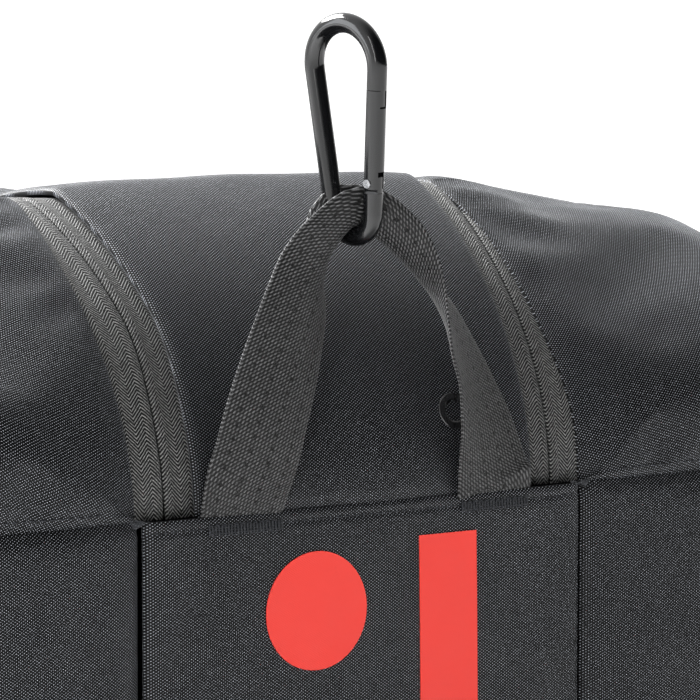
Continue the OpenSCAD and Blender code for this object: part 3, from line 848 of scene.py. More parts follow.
RING_HALF = HALF_W - CORNER_R - LOWER_HALF + CORNER_R * math.pi / 2 + HALF_L - CORNER_R
# The cloth that starts at the first distance along the zip ends at the second one round the seam.
CORNER_ALONG_ZIP = 172 * MM
CORNER_ALONG_SEAM = 214 * MM
TOPSTITCH = 4.6 * MM        # from a seam to the row of stitches beside it
LEVEL_ROWS = (8, 24)        # rows at the front between which the weave follows the side seam


def compartment_grid(seed, sign):
    """Outer face of a left compartment's upper fabric, from the zip to the side seam."""
    s = PROFILE_S[:MIDDLE_ROW + 1]
    ring = np.interp(s, [0, CORNER_ALONG_ZIP, s[-1]], [0, CORNER_ALONG_SEAM, RING_HALF])
    ring = np.concatenate([ring, 2 * RING_HALF - ring[-2::-1]])
    cols = 40
    v = np.linspace(0, 1, cols) ** 1.25
    edge_x = -(centre_edge(PROFILE[:, 0], sign) + zip_show(ALL_ROWS, sign))
    grid = np.empty((len(ring), cols, 3))
    for i, r in enumerate(ring):
        qx, qy, nx, ny = ring_point(r)
        top = np.array([edge_x[i], PROFILE[i, 0], PROFILE[i, 1]])
        foot = np.array([qx, qy, centre_lo.z])
        reach = abs(top[0] - foot[0])
        rise = top[2] - foot[2]
        handle_top = top + np.array([-0.85 * reach, 0, -0.36 * rise])
        handle_foot = foot + np.array([nx * 0.02, ny * 0.02, 1.1]) * rise
        grid[i] = blend_curve(top, handle_top, handle_foot, foot, v)
    normal = grid_normals(grid) * -1
    normal[:4] = normal[4]
    normal[-4:] = normal[-5]
    length = np.cumsum(np.linalg.norm(np.diff(grid, axis=1), axis=2), axis=1)
    length = np.concatenate([np.zeros((len(ring), 1)), length], 1)
    from_seam = length[:, -1:] - length
    size = np.minimum(length[:, -1:] / (90 * MM), 1)
    puff = 3 * MM * size * np.sin(math.pi * (length / length[:, -1:].clip(1e-6)) ** 0.8)
    recess = -3.6 * MM * fade(length, 11 * MM)
    tuck = -1.6 * MM * fade(from_seam, 1.6 * MM)
    tuck = tuck - 0.9 * MM * bell(from_seam, TOPSTITCH, 1.3 * MM)
    pleats = slow_noise(seed, len(ring), 19 * MM, 6 * MM)
    pleats = pleats + 0.6 * slow_noise(seed + 1, len(ring), 34 * MM, 6 * MM)
    pull = pleats[:, None] * 1.5 * MM * fade(length, 26 * MM) * (1 - fade(length, 5 * MM))
    low = slow_noise(seed + 2, len(ring), 42 * MM, 6 * MM)[:, None] * 1.3 * MM
    low = low * fade(from_seam, 30 * MM) * (1 - fade(from_seam, 6 * MM))
    return grid + normal * ((puff + recess + tuck + (pull + low) * size)[..., None])


def mirrored(grid, sign):
    """The grid itself for the left side, and its mirror image for the right."""
    return grid if sign < 0 else grid * [-1, 1, 1]


def cut_ends(grid, uv):
    """Front and rear halves of a full-length grid, which share their middle row."""
    return ((grid[:MIDDLE_ROW + 1], uv[:MIDDLE_ROW + 1], "front", -1),
            (grid[MIDDLE_ROW:], uv[MIDDLE_ROW:], "rear", 1))


def bend_with_flap(obj, end_sign):
    """Bakes the piece's placement into its points; it is not tied to the shell or the flap."""
    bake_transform(obj)


def edge_line(grid, inset):
    """Line on a grid, at that distance in from its last column, with the cloth's outward direction there."""
    normal = grid_normals(grid) * -1
    line = []
    out = []
    for row, row_normal in zip(grid, normal):
        s = run_lengths(row)
        at = s[-1] - inset
        line.append([np.interp(at, s, row[:, k]) for k in range(3)])
        out.append([np.interp(at, s, row_normal[:, k]) for k in range(3)])
    return np.array(line), np.array(out)


def make_compartments():
    for side, sign in SIDES.items():
        grid = compartment_grid(11 if sign < 0 else 47, sign)
        pinned = np.zeros(grid.shape[:2], bool)
        for rim in (pinned[:3], pinned[-3:], pinned[:, :2], pinned[:, -2:]):
            rim[:] = True
        grid = settle(grid, pinned, grow=0.006, pressure=0.8, cap=4 * MM)
        uv = laid_flat(grid, LEVEL_ROWS)
        line, out = edge_line(grid, TOPSTITCH)
        line, out = mirrored(line, sign), mirrored(out, sign)
        for end, rows, end_sign in (("front", slice(3, MIDDLE_ROW + 1), -1),
                                    ("rear", slice(MIDDLE_ROW, -3), 1)):
            row = stitch_row(f"{side}_{end}_side_stitches", line[rows], out[rows], THREAD)
            bend_with_flap(row, end_sign)
        grid = mirrored(grid, sign)
        uv = uv * [-sign, 1]
        for part, part_uv, end, end_sign in cut_ends(grid, uv):
            piece = cloth_panel(f"{side}_{end}_upper_fabric", part, part_uv, [SHELL, LINING], flip=sign < 0,
                                meets=MIDDLE_ROW if end == "front" else 0)
            if end == "front":
                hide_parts(f"{side}_front_shoulder", f"{side}_flap")
            else:
                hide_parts(f"{side}_rear_shoulder")
            bend_with_flap(piece, end_sign)


# ---------------------------------------------------------------- lower walls


def wall_bulge(s_share, z):
    """How far the lower walls stand out: fuller at the ends than along the sides."""
    height = np.clip((z - FOOT_Z) / (SEAM_Z - FOOT_Z), 0, 1)
    fullness = 3.2 + 5.5 * bell(np.asarray(s_share), 0.2, 0.16)
    return np.sin(math.pi * height ** 0.85) ** 0.8 * fullness * MM


def calm_bulge(y):
    """Share of the bulge that is left where the handles' sewn straps hold the wall flat."""
    return 0.3 + 0.7 * smooth_step(np.abs(y), 150 * MM, 260 * MM)


def make_side_walls():
    total = 2 * RING_HALF
    fine_run = 30 * MM      # points lie closer together along this length at either groove
    ring_s = np.unique(np.concatenate([np.linspace(0, fine_run, 13),
                                       np.linspace(fine_run, total - fine_run, 150),
                                       np.linspace(total - fine_run, total, 13)]))
    z = FOOT_Z + (SEAM_Z - FOOT_Z) * np.linspace(0, 1, 52)
    for side, sign in SIDES.items():
        grid = np.empty((len(z), len(ring_s), 3))
        uv = np.empty((len(z), len(ring_s), 2))
        wave = slow_noise(21 + sign, len(ring_s), 45 * MM, 9 * MM)
        for j, s in enumerate(ring_s):
            x, y, nx, ny = ring_point(s)
            from_groove = min(s, total - s)
            share = from_groove / RING_HALF
            out = wall_bulge(share, z) * smooth_step(from_groove, -4 * MM, 30 * MM)
            out = out * calm_bulge(y)
            out = out - 8 * MM * math.exp(-from_groove / (4.2 * MM))
            below_seam = SEAM_Z - z
            ripple = fade(below_seam, 26 * MM) * (1 - fade(below_seam, 4 * MM))
            out = out + wave[j] * MM * ripple
            out = out - 1.2 * MM * fade(below_seam, 1.5 * MM)
            grid[:, j, 0] = x + nx * out
            grid[:, j, 1] = y + ny * out
            grid[:, j, 2] = z
            uv[:, j, 0] = sign * (LOWER_HALF + s)
            uv[:, j, 1] = z
        grid = mirrored(grid, sign)
        wall = cloth_panel(f"{side}_wall_fabric", grid, uv, [SHELL, LINING], 3 * MM, flip=sign < 0)
        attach(wall, "shell")
        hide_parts(f"{side}_side_panel")


HEM = 4.3 * MM          # from the upper edge of an end panel down to its topstitch


def end_panel_out(x, z):
    """How far the front panel's face stands out of its CAD plane."""
    edge = LOWER_HALF - np.abs(x)
    below = SEAM_Z - z
    full = 2.2 * MM * np.sin(math.pi * np.clip((z - FOOT_Z) / (SEAM_Z - FOOT_Z), 0, 1)) ** 0.7
    roll = -3.6 * MM * fade(edge, 2.2 * MM) - 0.9 * MM * fade(below, 0.7 * MM)
    groove = -0.5 * MM * bell(below, HEM, 1.0 * MM)
    return full * smooth_step(edge, 0, 30 * MM) + roll + groove


def end_panel_grid(sign):
    x = LOWER_HALF * eased(61)
    z = SEAM_Z - (SEAM_Z - FOOT_Z) * (1 - np.cos(np.linspace(0, math.pi / 2, 90)))
    xs, zs = np.meshgrid(x, z)
    y = sign * (HALF_L + end_panel_out(xs, zs))
    return np.stack([xs, y, zs], 2), np.stack([xs, zs], 2)


def make_end_panels():
    for end, sign in (("front", -1), ("rear", 1)):
        grid, uv = end_panel_grid(sign)
        panel = cloth_panel(f"{end}_panel_fabric", grid, uv, [SHELL, LINING], 3 * MM, flip=sign < 0)
        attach(panel, "shell")
        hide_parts(f"{end}_end_panel")
        x = np.linspace(-LOWER_HALF + 2 * MM, LOWER_HALF - 2 * MM, 120)
        z = np.full(len(x), SEAM_Z - HEM)
        line = np.stack([x, sign * (HALF_L + end_panel_out(x, z)), z], 1)
        row = stitch_row(f"{end}_hem_stitches", line, np.tile([0, sign, 0], (len(x), 1)), THREAD)
        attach(row, "shell")


# ---------------------------------------------------------------- zips

BAND_RISE = 0.45 * MM       # the tape stands up over its coil by this much
TAPE_T = 0.9 * MM


def tape_grid(near, far, band_from, band_to, sign):
    """Outer face of one zip tape, near and far being distances out from the centre panel's edge."""
    low, high = sorted((band_from, band_to))
    across = np.unique(np.concatenate([np.linspace(near, far, 16), np.linspace(low, high, 9)]))
    x = centre_edge(PROFILE[:, 0], sign)[:, None] + across[None, :]
    rise = BAND_RISE * (smooth_step(across, low - 0.6 * MM, low + 0.5 * MM)
                        - smooth_step(across, high - 0.1 * MM, high + 0.8 * MM))
    bite = min(abs(near - SLOT), abs(far - SLOT)) + 0.25 * MM
    dip = -0.7 * MM * fade(np.maximum(np.abs(across - SLOT) - bite, 0), 0.35 * MM)
    covered = across[None, :] - zip_show(ALL_ROWS, sign)[:, None]
    lift = -TAPE_DROP + rise + dip - 3 * MM * smooth_step(covered, 0.5 * MM, 5 * MM)
    uv = np.stack([np.broadcast_to(across, x.shape), np.broadcast_to(PROFILE_S[:, None], x.shape)], 2)
    return strip(ALL_ROWS, -x, lift), uv


TOOTH_PITCH = 2.2 * MM
# A tooth, from its back to the slot and back again: share of the way to the slot, and height in mm
# from the tape's face.
TOOTH = [(0.0, -1.0), (0.75, -1.15), (1.0, -1.9), (0.75, -2.65), (0.0, -2.8)]
TOOTH_SIDES = 4


def coil_half(name, off_slot, off_back, rows, sign):
    """Row of coil teeth under a tape: each is a bent nylon loop that bites at the slot."""
    first, last = rows
    s = np.arange(PROFILE_S[first] + TOOTH_PITCH, PROFILE_S[last] - TOOTH_PITCH / 2, TOOTH_PITCH)
    turn = full_turn(TOOTH_SIDES)
    verts = []
    faces = []
    for place in s:
        y, z, ny, nz = (np.interp(place, PROFILE_S, column) for column in
                        (PROFILE[:, 0], PROFILE[:, 1], PROFILE_NORMAL[:, 0], PROFILE_NORMAL[:, 1]))
        ty, tz = nz, -ny
        start = len(verts)
        for share, depth in TOOTH:
            x = sign * (centre_edge(y, sign) + off_back + (off_slot - off_back) * share)
            d = -TAPE_DROP + depth * MM
            for a in turn:
                push = 0.62 * MM * math.cos(a)
                lift = 0.5 * MM * math.sin(a)
                verts.append((x, y + ny * (d + lift) + ty * push, z + nz * (d + lift) + tz * push))
        faces += tube_faces(len(TOOTH), TOOTH_SIDES, start)
    teeth = new_object(name, verts, faces, [COIL])
    weld(teeth, 1e-9)
    return teeth


def tape_stitches(name, offset, rows, sign):
    """Two-needle stitching that holds the coil to its tape."""
    rows = np.arange(rows[0], rows[1] + 1)
    x = sign * (centre_edge(PROFILE[rows, 0], sign) + offset)
    lift = -TAPE_DROP + BAND_RISE
    line = np.stack([x, PROFILE[rows, 0] + PROFILE_NORMAL[rows, 0] * lift,
                     PROFILE[rows, 1] + PROFILE_NORMAL[rows, 1] * lift], 1)
    out = np.stack([np.zeros(len(rows)), PROFILE_NORMAL[rows, 0], PROFILE_NORMAL[rows, 1]], 1)
    return stitch_row(name, line, out, TAPE_THREAD, 1.25 * MM, 0.75 * MM, 0.14 * MM, 4)


def make_zips():
    last = len(PROFILE) - 1
    near_slot = SLOT - 0.35 * MM
    far_slot = SLOT + 0.35 * MM
    for side, sign in SIDES.items():
        grid, uv = tape_grid(-4 * MM, near_slot, near_slot - 3.2 * MM, near_slot, sign)
        tape = cloth_panel(f"{side}_inner_zip_tape", mirrored(grid, sign), uv, [TAPE], TAPE_T, flip=sign < 0)
        coil = coil_half(f"{side}_inner_zip_coil", near_slot + 0.5 * MM, near_slot - 3 * MM, (0, last),
                         sign)
        sewn = joined(f"{side}_inner_zip_stitches", [
            tape_stitches("row", near_slot - off * MM, (0, last), sign) for off in (1.1, 2.4)])
        for piece in (tape, coil, sewn):
            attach(piece, "shell")
        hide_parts(f"{side}_inner_zip_half")
        grid, uv = tape_grid(far_slot, ZIP_W + 5 * MM, far_slot, far_slot + 3.2 * MM, sign)
        for part, part_uv, end, end_sign in cut_ends(mirrored(grid, sign), uv):
            rows = (0, MIDDLE_ROW) if end == "front" else (MIDDLE_ROW, last)
            tape = cloth_panel(f"{side}_{end}_outer_zip_tape", part, part_uv, [TAPE], TAPE_T, flip=sign < 0,
                               meets=MIDDLE_ROW if end == "front" else 0)
            coil = coil_half(f"{side}_{end}_outer_zip_coil", far_slot - 0.5 * MM, far_slot + 3 * MM, rows,
                             sign)
            sewn = joined(f"{side}_{end}_outer_zip_stitches", [
                tape_stitches("row", far_slot + off * MM, rows, sign) for off in (1.1, 2.4)])
            if end == "front":
                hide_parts(f"{side}_outer_zip_ends", f"{side}_flap_zip_half")
            for piece in (tape, coil, sewn):
                bend_with_flap(piece, end_sign)


# ---------------------------------------------------------------- hang loop

LOOP_W = 34 * MM
# Stations along the webbing, from the left foot over the carabiner to the right foot:
# place (mm), turn of its width away from the bag's width (degrees), bend across its width (degrees).
LOOP_STATIONS = [
    ((-57.0, -517.9, 314), 1, 0), ((-56.6, -519.1, 319.4), 2, 0), ((-55.5, -522.4, 330), 8, 8),
    ((-52.6, -524.6, 341), 7, 14), ((-49.4, -525.4, 352.6), 4, 17), ((-44.3, -525.2, 366.5), 0, 20),
    ((-38.8, -524.4, 379.4), -6, 26), ((-31.4, -523.2, 394.7), -13, 42), ((-25.6, -522.3, 404.8), -22, 68),
    ((-18.6, -521.6, 413.6), -44, 115), ((-9.0, -520.9, 421.4), -78, 172), ((1.8, -520.9, 415.8), -80, 140),
    ((10.8, -521.0, 408.8), -77, 90), ((18.4, -521.5, 401.2), -68, 52), ((24.6, -522.0, 393.8), -57, 30),
    ((30.4, -522.6, 384.8), -48, 18), ((35.4, -523.0, 374.8), -41, 12), ((40.8, -523.2, 363.5), -36, 8),
    ((45.6, -522.8, 351), -28, 4), ((49.8, -521.8, 339), -18, 0), ((53.8, -520.2, 324), -6, 0),
    ((55.4, -519.0, 319.2), -2, 0), ((55.6, -517.9, 314), 0, 0),
]


def smooth_run(knots, per_span=5):
    """Catmull-Rom curve through rows of numbers."""
    knots = np.asarray(knots, float)
    ends = np.concatenate([[2 * knots[0] - knots[1]], knots, [2 * knots[-1] - knots[-2]]])
    out = []
    for i in range(1, len(ends) - 2):
        a, b, c, d = ends[i - 1:i + 3]
        for t in np.linspace(0, 1, per_span, endpoint=False):
            out.append(0.5 * (2 * b + (c - a) * t + (2 * a - 5 * b + 4 * c - d) * t * t
                              + (3 * b - a - 3 * c + d) * t ** 3))
    out.append(knots[-1])
    return np.array(out)


def make_hang_loop():
    run = smooth_run([[*place, turn, bend] for place, turn, bend in LOOP_STATIONS])
    centres = run[:, :3] * MM
    turn = np.radians(run[:, 3])
    tangents = unit(np.gradient(centres, axis=0))
    width = np.stack([np.cos(turn), -np.sin(turn), np.zeros(len(turn))], 1)
    width = unit(width - tangents * np.sum(width * tangents, axis=1)[:, None])
    normal = np.cross(tangents, width)
    strap = ribbon("hang_loop_webbing", centres, width, normal, LOOP_W, WEB_T, WEBBING,
                   cups=np.radians(run[:, 4]), cols=25)
    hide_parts("hang_loop")
    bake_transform(strap)


def zigzag(half, half_h, strokes, place):
    """Dense zigzag of thread over a block, and the straight runs under it.
    place puts (u, v) on the cloth."""
    points = []
    for i in range(strokes + 1):
        u = -half + 2 * half * i / strokes
        ends = (-half_h, half_h) if i % 2 == 0 else (half_h, -half_h)
        points += [place(u, v) for v in ends]
    parts = [round_tube("thread", spaced(points, 0.6 * MM), 0.42 * MM, THREAD, 6)]
    for v in (-half_h * 0.55, 0, half_h * 0.55):
        run = [place(u, v) for u in np.linspace(-half, half, 9)]
        parts.append(round_tube("thread", run, 0.35 * MM, THREAD, 6))
    return parts


def make_bartacks():
    """Stitched blocks just under the seam, one at each foot of the loop."""
    middle_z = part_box("hang_loop_bartacks")[1].z
    parts = []
    for centre, half in ((-56 * MM, 15.5 * MM), (55 * MM, 15 * MM)):
        def on_panel(u, v, centre=centre):
            x, z = centre + u, middle_z + v
            return x, float(-HALF_L - end_panel_out(np.array(x), np.array(z))) - 0.25 * MM, z
        parts += zigzag(half, 1.9 * MM, 23, on_panel)
    tack = joined("hang_loop_bartack_thread", parts)
    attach(tack, "shell")
    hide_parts("hang_loop_bartacks")


# ---------------------------------------------------------------- print on the front


def make_print():
    """Upright hockey stick and puck, cut from thin film and laid over the panel."""
    lo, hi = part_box("front_mark")
    stick_w = 26 * MM
    bevel = 3 * MM
    foot = lo.z + stick_w
    left, right = lo.x, hi.x
    stick = [(right - stick_w, hi.z), (right, hi.z), (right, foot - 8 * MM), (right - 12 * MM, lo.z),
             (left + 10 * MM, lo.z), (left + bevel, lo.z + 4 * MM), (left, lo.z + 10 * MM), (left, foot),
             (right - stick_w - 9 * MM, foot), (right - stick_w - 2.6 * MM, foot + 2.6 * MM),
             (right - stick_w, foot + 9 * MM)]
    puck_r = 22 * MM
    turn = full_turn(48)
    puck = [(left + 18 * MM + puck_r * math.cos(a), hi.z - puck_r - 2 * MM + puck_r * math.sin(a))
            for a in turn]
    bm = bmesh.new()
    for outline in (stick, puck):
        bm.faces.new([bm.verts.new((x, 0, z)) for x, z in outline])
    step = 4 * MM
    for axis, start, end in ((0, left, right), (2, lo.z, hi.z)):
        for at in np.arange(start + step, end, step):
            normal = [float(axis == 0), 0, float(axis == 2)]
            bmesh.ops.bisect_plane(bm, geom=bm.verts[:] + bm.edges[:] + bm.faces[:],
                                   plane_co=[at * n for n in normal], plane_no=normal)
    film = bmesh.ops.extrude_face_region(bm, geom=bm.faces[:])
    outer = {v for v in film["geom"] if isinstance(v, bmesh.types.BMVert)}
    for v in bm.verts:
        lift = 0.45 * MM if v in outer else 0.05 * MM
        v.co.y = -HALF_L - float(end_panel_out(np.array(v.co.x), np.array(v.co.z))) - lift
    bmesh.ops.recalc_face_normals(bm, faces=bm.faces)
    layer = bm.loops.layers.uv.new("UVMap")
    for face in bm.faces:
        for corner in face.loops:
            corner[layer].uv = (corner.vert.co.x, corner.vert.co.z)
    mesh = bpy.data.meshes.new("front_print")
    bm.to_mesh(mesh)
    bm.free()
    mesh.materials.append(PRINT)
    piece = bpy.data.objects.new("front_print", mesh)
    bpy.context.scene.collection.objects.link(piece)
    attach(piece, "shell")
    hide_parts("front_mark")


# ---------------------------------------------------------------- handles

STRAP_T = 2 * MM
GRIP_HEM = 3 * MM       # the grip is wider than its webbing by this much on each edge


def handle_line(half, depth, corner, tail):
    """Middle line of a hanging U of webbing as (u, v), from above one end to above the other."""
    turn = np.linspace(0, math.pi / 2, 14)
    bend = np.stack([-half + corner * (1 - np.cos(turn)), corner - depth - corner * np.sin(turn)], 1)
    run = np.concatenate([[[-half, tail]], bend])
    return spaced(np.concatenate([run, run[::-1] * [-1, 1]]), 4 * MM)


def make_handle(name, body, along, out, corner, surface):
    """Hanging handle with its padded grip and the straps it is sewn to.
    surface gives how far the cloth stands out of its CAD face at each (u, z)."""
    joint = next(row for row in frame["record"]["behaviour"]["joints"] if row["child"] == body)
    pivot = Vector(joint["pos_m"])
    along, out = Vector(along), Vector(out)
    lo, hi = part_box(name)
    grip_lo, grip_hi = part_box(f"{name}_grip")
    anchor_lo, anchor_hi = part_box(f"{name}_anchors")
    web = grip_hi.z - grip_lo.z - 2 * GRIP_HEM
    half = along.dot(hi) - web / 2
    depth = pivot.z - lo.z - web / 2
    face = min(abs(out.dot(anchor_lo)), abs(out.dot(anchor_hi)))
    base = pivot - out * out.dot(pivot)

    def place(u, v, w):
        return base + along * u + Vector((0, 0, v)) + out * w

    def line_of(pairs, depths):
        return np.array([place(u, v, w) for (u, v), w in zip(pairs, depths)])

    line = handle_line(half, depth, corner, 12 * MM)
    hang = abs(out.dot(pivot))
    sewn = face + surface(half, pivot.z) + 2.4 * MM
    depths = sewn + (hang - sewn) * smooth_step(line[:, 1], 0, -30 * MM)
    wander = 0.5 * MM * slow_noise(half * 1000, len(line), 40 * MM, 4 * MM)
    depths = depths + wander * smooth_step(line[:, 1], 0, -40 * MM)
    tangent = unit(np.gradient(line, axis=0))
    centres = line_of(line, depths)
    widths = np.array([along * t[1] - Vector((0, 0, t[0])) for t in tangent])
    normals = np.tile(out, (len(line), 1))
    strap = ribbon(f"{name}_webbing", centres, widths, normals, web, STRAP_T, WEBBING)
    edges = []
    for side in (-1, 1):
        edge = centres + widths * side * (web / 2 - 3 * MM) + normals * STRAP_T / 2
        edges.append(stitch_row("edge", edge, normals, THREAD))
    stitches = joined(f"{name}_stitches", edges)
    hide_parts(name)
    for piece in (strap, stitches):
        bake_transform(piece)

    anchors = []
    tacks = []
    for side in (-1, 1):
        z = np.linspace(anchor_lo.z, pivot.z + 12 * MM, 60)
        u = np.full(len(z), side * half)
        depths = face + surface(u, z) + 0.9 * MM
        centres = line_of(np.stack([u, z - pivot.z], 1), depths)
        widths = np.tile(along, (len(z), 1))
        normals = np.tile(out, (len(z), 1))
        anchors.append(ribbon("strap", centres, widths, normals, web, WEB_T, WEBBING))
        for edge in (-1, 1):
            line = centres + widths * edge * (web / 2 - 3 * MM) + normals * WEB_T / 2
            tacks.append(stitch_row("edge", line, normals, THREAD))
        top = sewn + STRAP_T / 2 + 0.2 * MM
        tacks += zigzag(web * 0.42, 1.9 * MM, 25, lambda a, b: place(side * half + a, 8 * MM + b, top))
    strap = joined(f"{name}_anchor_straps", anchors)
    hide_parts(f"{name}_anchors")
    sewing = joined(f"{name}_anchor_stitches", tacks)
    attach(strap, "shell")
    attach(sewing, "shell")

    make_grip(name, body, place, grip_lo, grip_hi, along, out, pivot)


def make_grip(name, body, place, lo, hi, along, out, pivot):
    """Padded wrap round the lowest run of a handle, closed by a flap along its outer face."""
    half = along.dot(hi)
    mid_v = (lo.z + hi.z) / 2 - pivot.z
    half_v = (hi.z - lo.z) / 2
    near, far = sorted((abs(out.dot(lo)), abs(out.dot(hi))))
    mid_w = (near + far) / 2 + 0.2 * MM
    half_w = (far - near) / 2 - 0.2 * MM
    turn = full_turn(56)
    rings = []
    uvs = []
    for share in eased(31):
        from_end = half * (1 - abs(share))
        groove = 0.1 * math.exp(-((from_end - 5 * MM) / (1.2 * MM)) ** 2)
        full = 1 - 0.3 * math.exp(-from_end / (2.2 * MM)) - groove
        c, n = np.cos(turn), np.sin(turn)
        v = half_v * np.sign(c) * np.abs(c) ** 0.35 * (0.94 + 0.06 * full)
        w = half_w * np.sign(n) * np.abs(n) ** 0.7 * full
        w = w + 0.5 * MM * smooth_step(v, -half_v * 0.25, -half_v * 0.18) * (n > 0) * full
        rings.append([place(half * share, mid_v + a, mid_w + b) for a, b in zip(v, w)])
        loop = run_lengths(np.stack([v, w], 1))
        uvs.append(np.stack([loop, np.full(len(turn), half * share)], 1))
    grip = tube_rings(f"{name}_grip_pad", rings, uvs, GRIP)
    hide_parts(f"{name}_grip")
    rows = []
    for u in (-half + 5 * MM, half - 5 * MM):
        v = np.linspace(-half_v * 0.9, half_v * 0.9, 30)
        w = half_w * (1 - np.abs(v / half_v) ** 5.7) ** 0.5 * 0.93
        line = np.array([place(u, mid_v + a, mid_w + b) for a, b in zip(v, w)])
        rows.append(stitch_row("row", line, np.tile(out, (len(v), 1)), THREAD))
    line = np.array([place(u, mid_v - half_v * 0.05, mid_w + half_w + 0.5 * MM)
                     for u in np.linspace(-half + 7 * MM, half - 7 * MM, 40)])
    rows.append(stitch_row("row", line, np.tile(out, (40, 1)), THREAD))
    sewing = joined(f"{name}_grip_stitches", rows)
    for piece in (grip, sewing):
        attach(piece, body)


def side_surface(u, z):
    return calm_bulge(u) * wall_bulge(1 - np.abs(u) / RING_HALF, z)


def rear_surface(u, z):
    return end_panel_out(np.asarray(u), np.asarray(z))


# ---------------------------------------------------------------- base and inner parts


def plan_grid(inset, rows=90, cols=40):
    """Flat grid over the bag's plan, moved in by inset, as (x, y) rows along the bag."""
    half_l, half_w, corner = HALF_L - inset, HALF_W - inset, CORNER_R - inset
    y = half_l * eased(rows)
    into = np.clip(np.abs(y) - (half_l - corner), 0, corner)
    half = half_w - corner + np.sqrt(np.maximum(corner**2 - into**2, 0))
    share = eased(cols)
    return half[:, None] * share[None, :], np.broadcast_to(y[:, None], (rows, cols))


def quilted(a, b, pitch, depth):
    """Height of a pad that is sewn down along lines a pitch apart in both directions."""
    ridge = np.abs(np.sin(math.pi * a / pitch)) * np.abs(np.sin(math.pi * b / pitch))
    return depth * np.clip(ridge, 0, 1) ** 0.45


def make_base():
    lo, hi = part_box("base_panel")
    x, y = plan_grid(0.5 * MM)
    sag = 0.5 * MM * np.sin(x / (31 * MM)) * np.cos(y / (47 * MM))
    grid = np.stack([x, y, lo.z + 0.6 * MM + sag], 2)
    floor = cloth_panel("base_fabric", grid, np.stack([x, y], 2), [SHELL, LINING], 2 * MM, flip=True)
    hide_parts("base_panel")
    ring = []
    for k in np.linspace(0, 2 * RING_HALF, 300):
        px, py, nx, ny = ring_point(k)
        ring.append((px - 0.8 * MM * nx, py - 0.8 * MM * ny, hi.z - 0.4 * MM))
    ring = np.array(ring)
    ring = np.concatenate([ring, ring[::-1] * [-1, 1, 1], ring[:1]])
    piping = round_tube("base_piping", spaced(ring, 6 * MM), 2.3 * MM, GRIP, 12)
    foam_lo, foam_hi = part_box("base_foam")
    x, y = plan_grid(HALF_W - foam_hi.x, 180, 80)
    rise = quilted(x, y, 56 * MM, 3 * MM)
    grid = np.stack([x, y, foam_hi.z - 3 * MM + rise], 2)
    pad = cloth_panel("base_pad", grid, np.stack([x, y], 2), [LINING], foam_hi.z - foam_lo.z - 3 * MM)
    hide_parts("base_foam")
    for piece in (floor, piping, pad):
        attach(piece, "shell")


def make_boards():
    """Fabric-covered boards inside the end faces."""
    for end, sign in (("front", -1), ("rear", 1)):
        lo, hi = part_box(f"{end}_stiffener")
        x = hi.x * eased(50)
        z = (lo.z + hi.z) / 2 + (hi.z - lo.z) / 2 * eased(70)
        xs, zs = np.meshgrid(x, z)
        inner = min(abs(lo.y), abs(hi.y))
        thick = abs(hi.y - lo.y)
        from_edge = np.minimum(hi.x - np.abs(xs), np.minimum(zs - lo.z, hi.z - zs))
        groove = 0.25 * bell(from_edge, 9 * MM, 1.5 * MM)
        crown = thick * (1 - 0.45 * fade(from_edge, 4 * MM) - groove)
        grid = np.stack([xs, sign * (inner + thick - crown), zs], 2)
        board = cloth_panel(f"{end}_board_cover", grid, np.stack([xs, zs], 2), [LINING], thick * 0.5,
                            flip=sign > 0)
        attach(board, "shell")
        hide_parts(f"{end}_stiffener")


def make_divider():
    """Padded wall between the compartments, quilted in long channels."""
    lo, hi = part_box("centre_divider")
    rows = np.flatnonzero(np.abs(PROFILE[:, 0]) < hi.y + 4 * MM)
    inset = centre_hi.z - hi.z
    top = PROFILE[rows] - PROFILE_NORMAL[rows] * inset
    share = 0.5 - 0.5 * np.cos(np.linspace(0, math.pi, 80))
    y = np.clip(np.broadcast_to(top[:, 0][:, None], (len(rows), len(share))), lo.y, hi.y)
    z = lo.z + (top[:, 1][:, None] - lo.z) * share[None, :]
    from_edge = np.minimum((z - lo.z), top[:, 1][:, None] - z)
    from_edge = np.minimum(from_edge, hi.y - np.abs(y))
    swell = hi.x * (1 - 0.5 * fade(np.maximum(from_edge, 0), 4 * MM))
    swell = swell * (1 - 0.45 * bell(np.mod(z - lo.z, 48 * MM), 24 * MM, 2.2 * MM))
    halves = []
    for sign in (-1, 1):
        grid = np.stack([sign * swell, y, z], 2)
        halves.append(cloth_panel("half", grid, np.stack([y, z], 2), [LINING], 0.8 * MM, flip=sign < 0))
    wall = joined("divider_pad", halves)
    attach(wall, "shell")
    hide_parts("centre_divider")


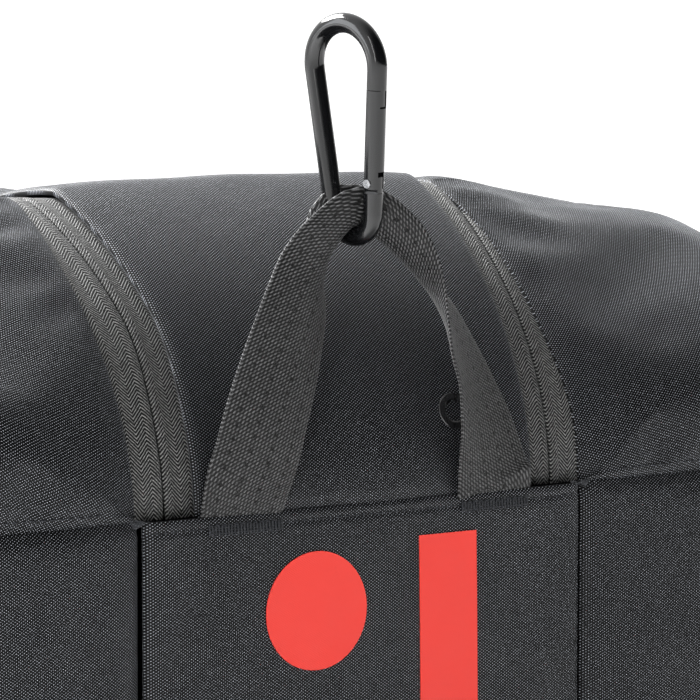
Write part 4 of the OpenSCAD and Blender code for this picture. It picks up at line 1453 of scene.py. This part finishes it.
# ---------------------------------------------------------------- hardware with softened edges


def softened(node, body, width, material):
    """Copy of a hard CAD part with its sharp edges rounded over."""
    source = frame["nodes"][node]
    piece = bpy.data.objects.new(f"{node}_finished", source.data.copy())
    bpy.context.scene.collection.objects.link(piece)
    bm = bmesh.new()
    bm.from_mesh(piece.data)
    bmesh.ops.remove_doubles(bm, verts=bm.verts, dist=1e-6)
    bmesh.ops.dissolve_limit(bm, angle_limit=math.radians(1), verts=bm.verts, edges=bm.edges)
    sharp = [e for e in bm.edges if len(e.link_faces) == 2 and e.calc_face_angle() > math.radians(35)]
    bmesh.ops.bevel(bm, geom=sharp, offset=width, offset_type="OFFSET", segments=3, profile=0.5,
                    affect="EDGES", clamp_overlap=True)
    for face in bm.faces:
        face.smooth = True
    bm.to_mesh(piece.data)
    bm.free()
    piece.data.materials.clear()
    piece.data.materials.append(material)
    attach(piece, body)
    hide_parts(node)


make_centre()
make_compartments()
make_side_walls()
make_end_panels()
make_zips()
make_hang_loop()
make_bartacks()
make_print()
for side, sign in SIDES.items():
    make_handle(f"{side}_handle", f"{side}_handle_body", (0, 1, 0), (sign, 0, 0), 45 * MM, side_surface)
    softened(f"{side}_zip_slider", f"{side}_slider_body", 0.5 * MM, BLACK_METAL)
    softened(f"{side}_zip_pull", f"{side}_pull_body", 0.4 * MM, BLACK_METAL)
make_handle("rear_handle", "rear_handle_body", (1, 0, 0), (0, 1, 0), 28 * MM, rear_surface)
softened("base_runners", "shell", 1.5 * MM, RUNNER)
make_base()
make_boards()
make_divider()

# ---------------------------------------------------------------- carried-over CAD nodes

NODE_MATERIALS = {
    "runner_screws": STEEL, "base_board": BOARD, "vent_eyelet": BLACK_METAL, "vent_washer": STEEL,
    "vent_mesh": LINING, "carabiner_body": ANODISED, "carabiner_gate": ANODISED, "carabiner_rivets": STEEL,
    "gate_spring": STEEL,
}
for node, material in NODE_MATERIALS.items():
    for item in frame["nodes"][node].material_slots:
        item.material = material

bpy.context.view_layer.update()
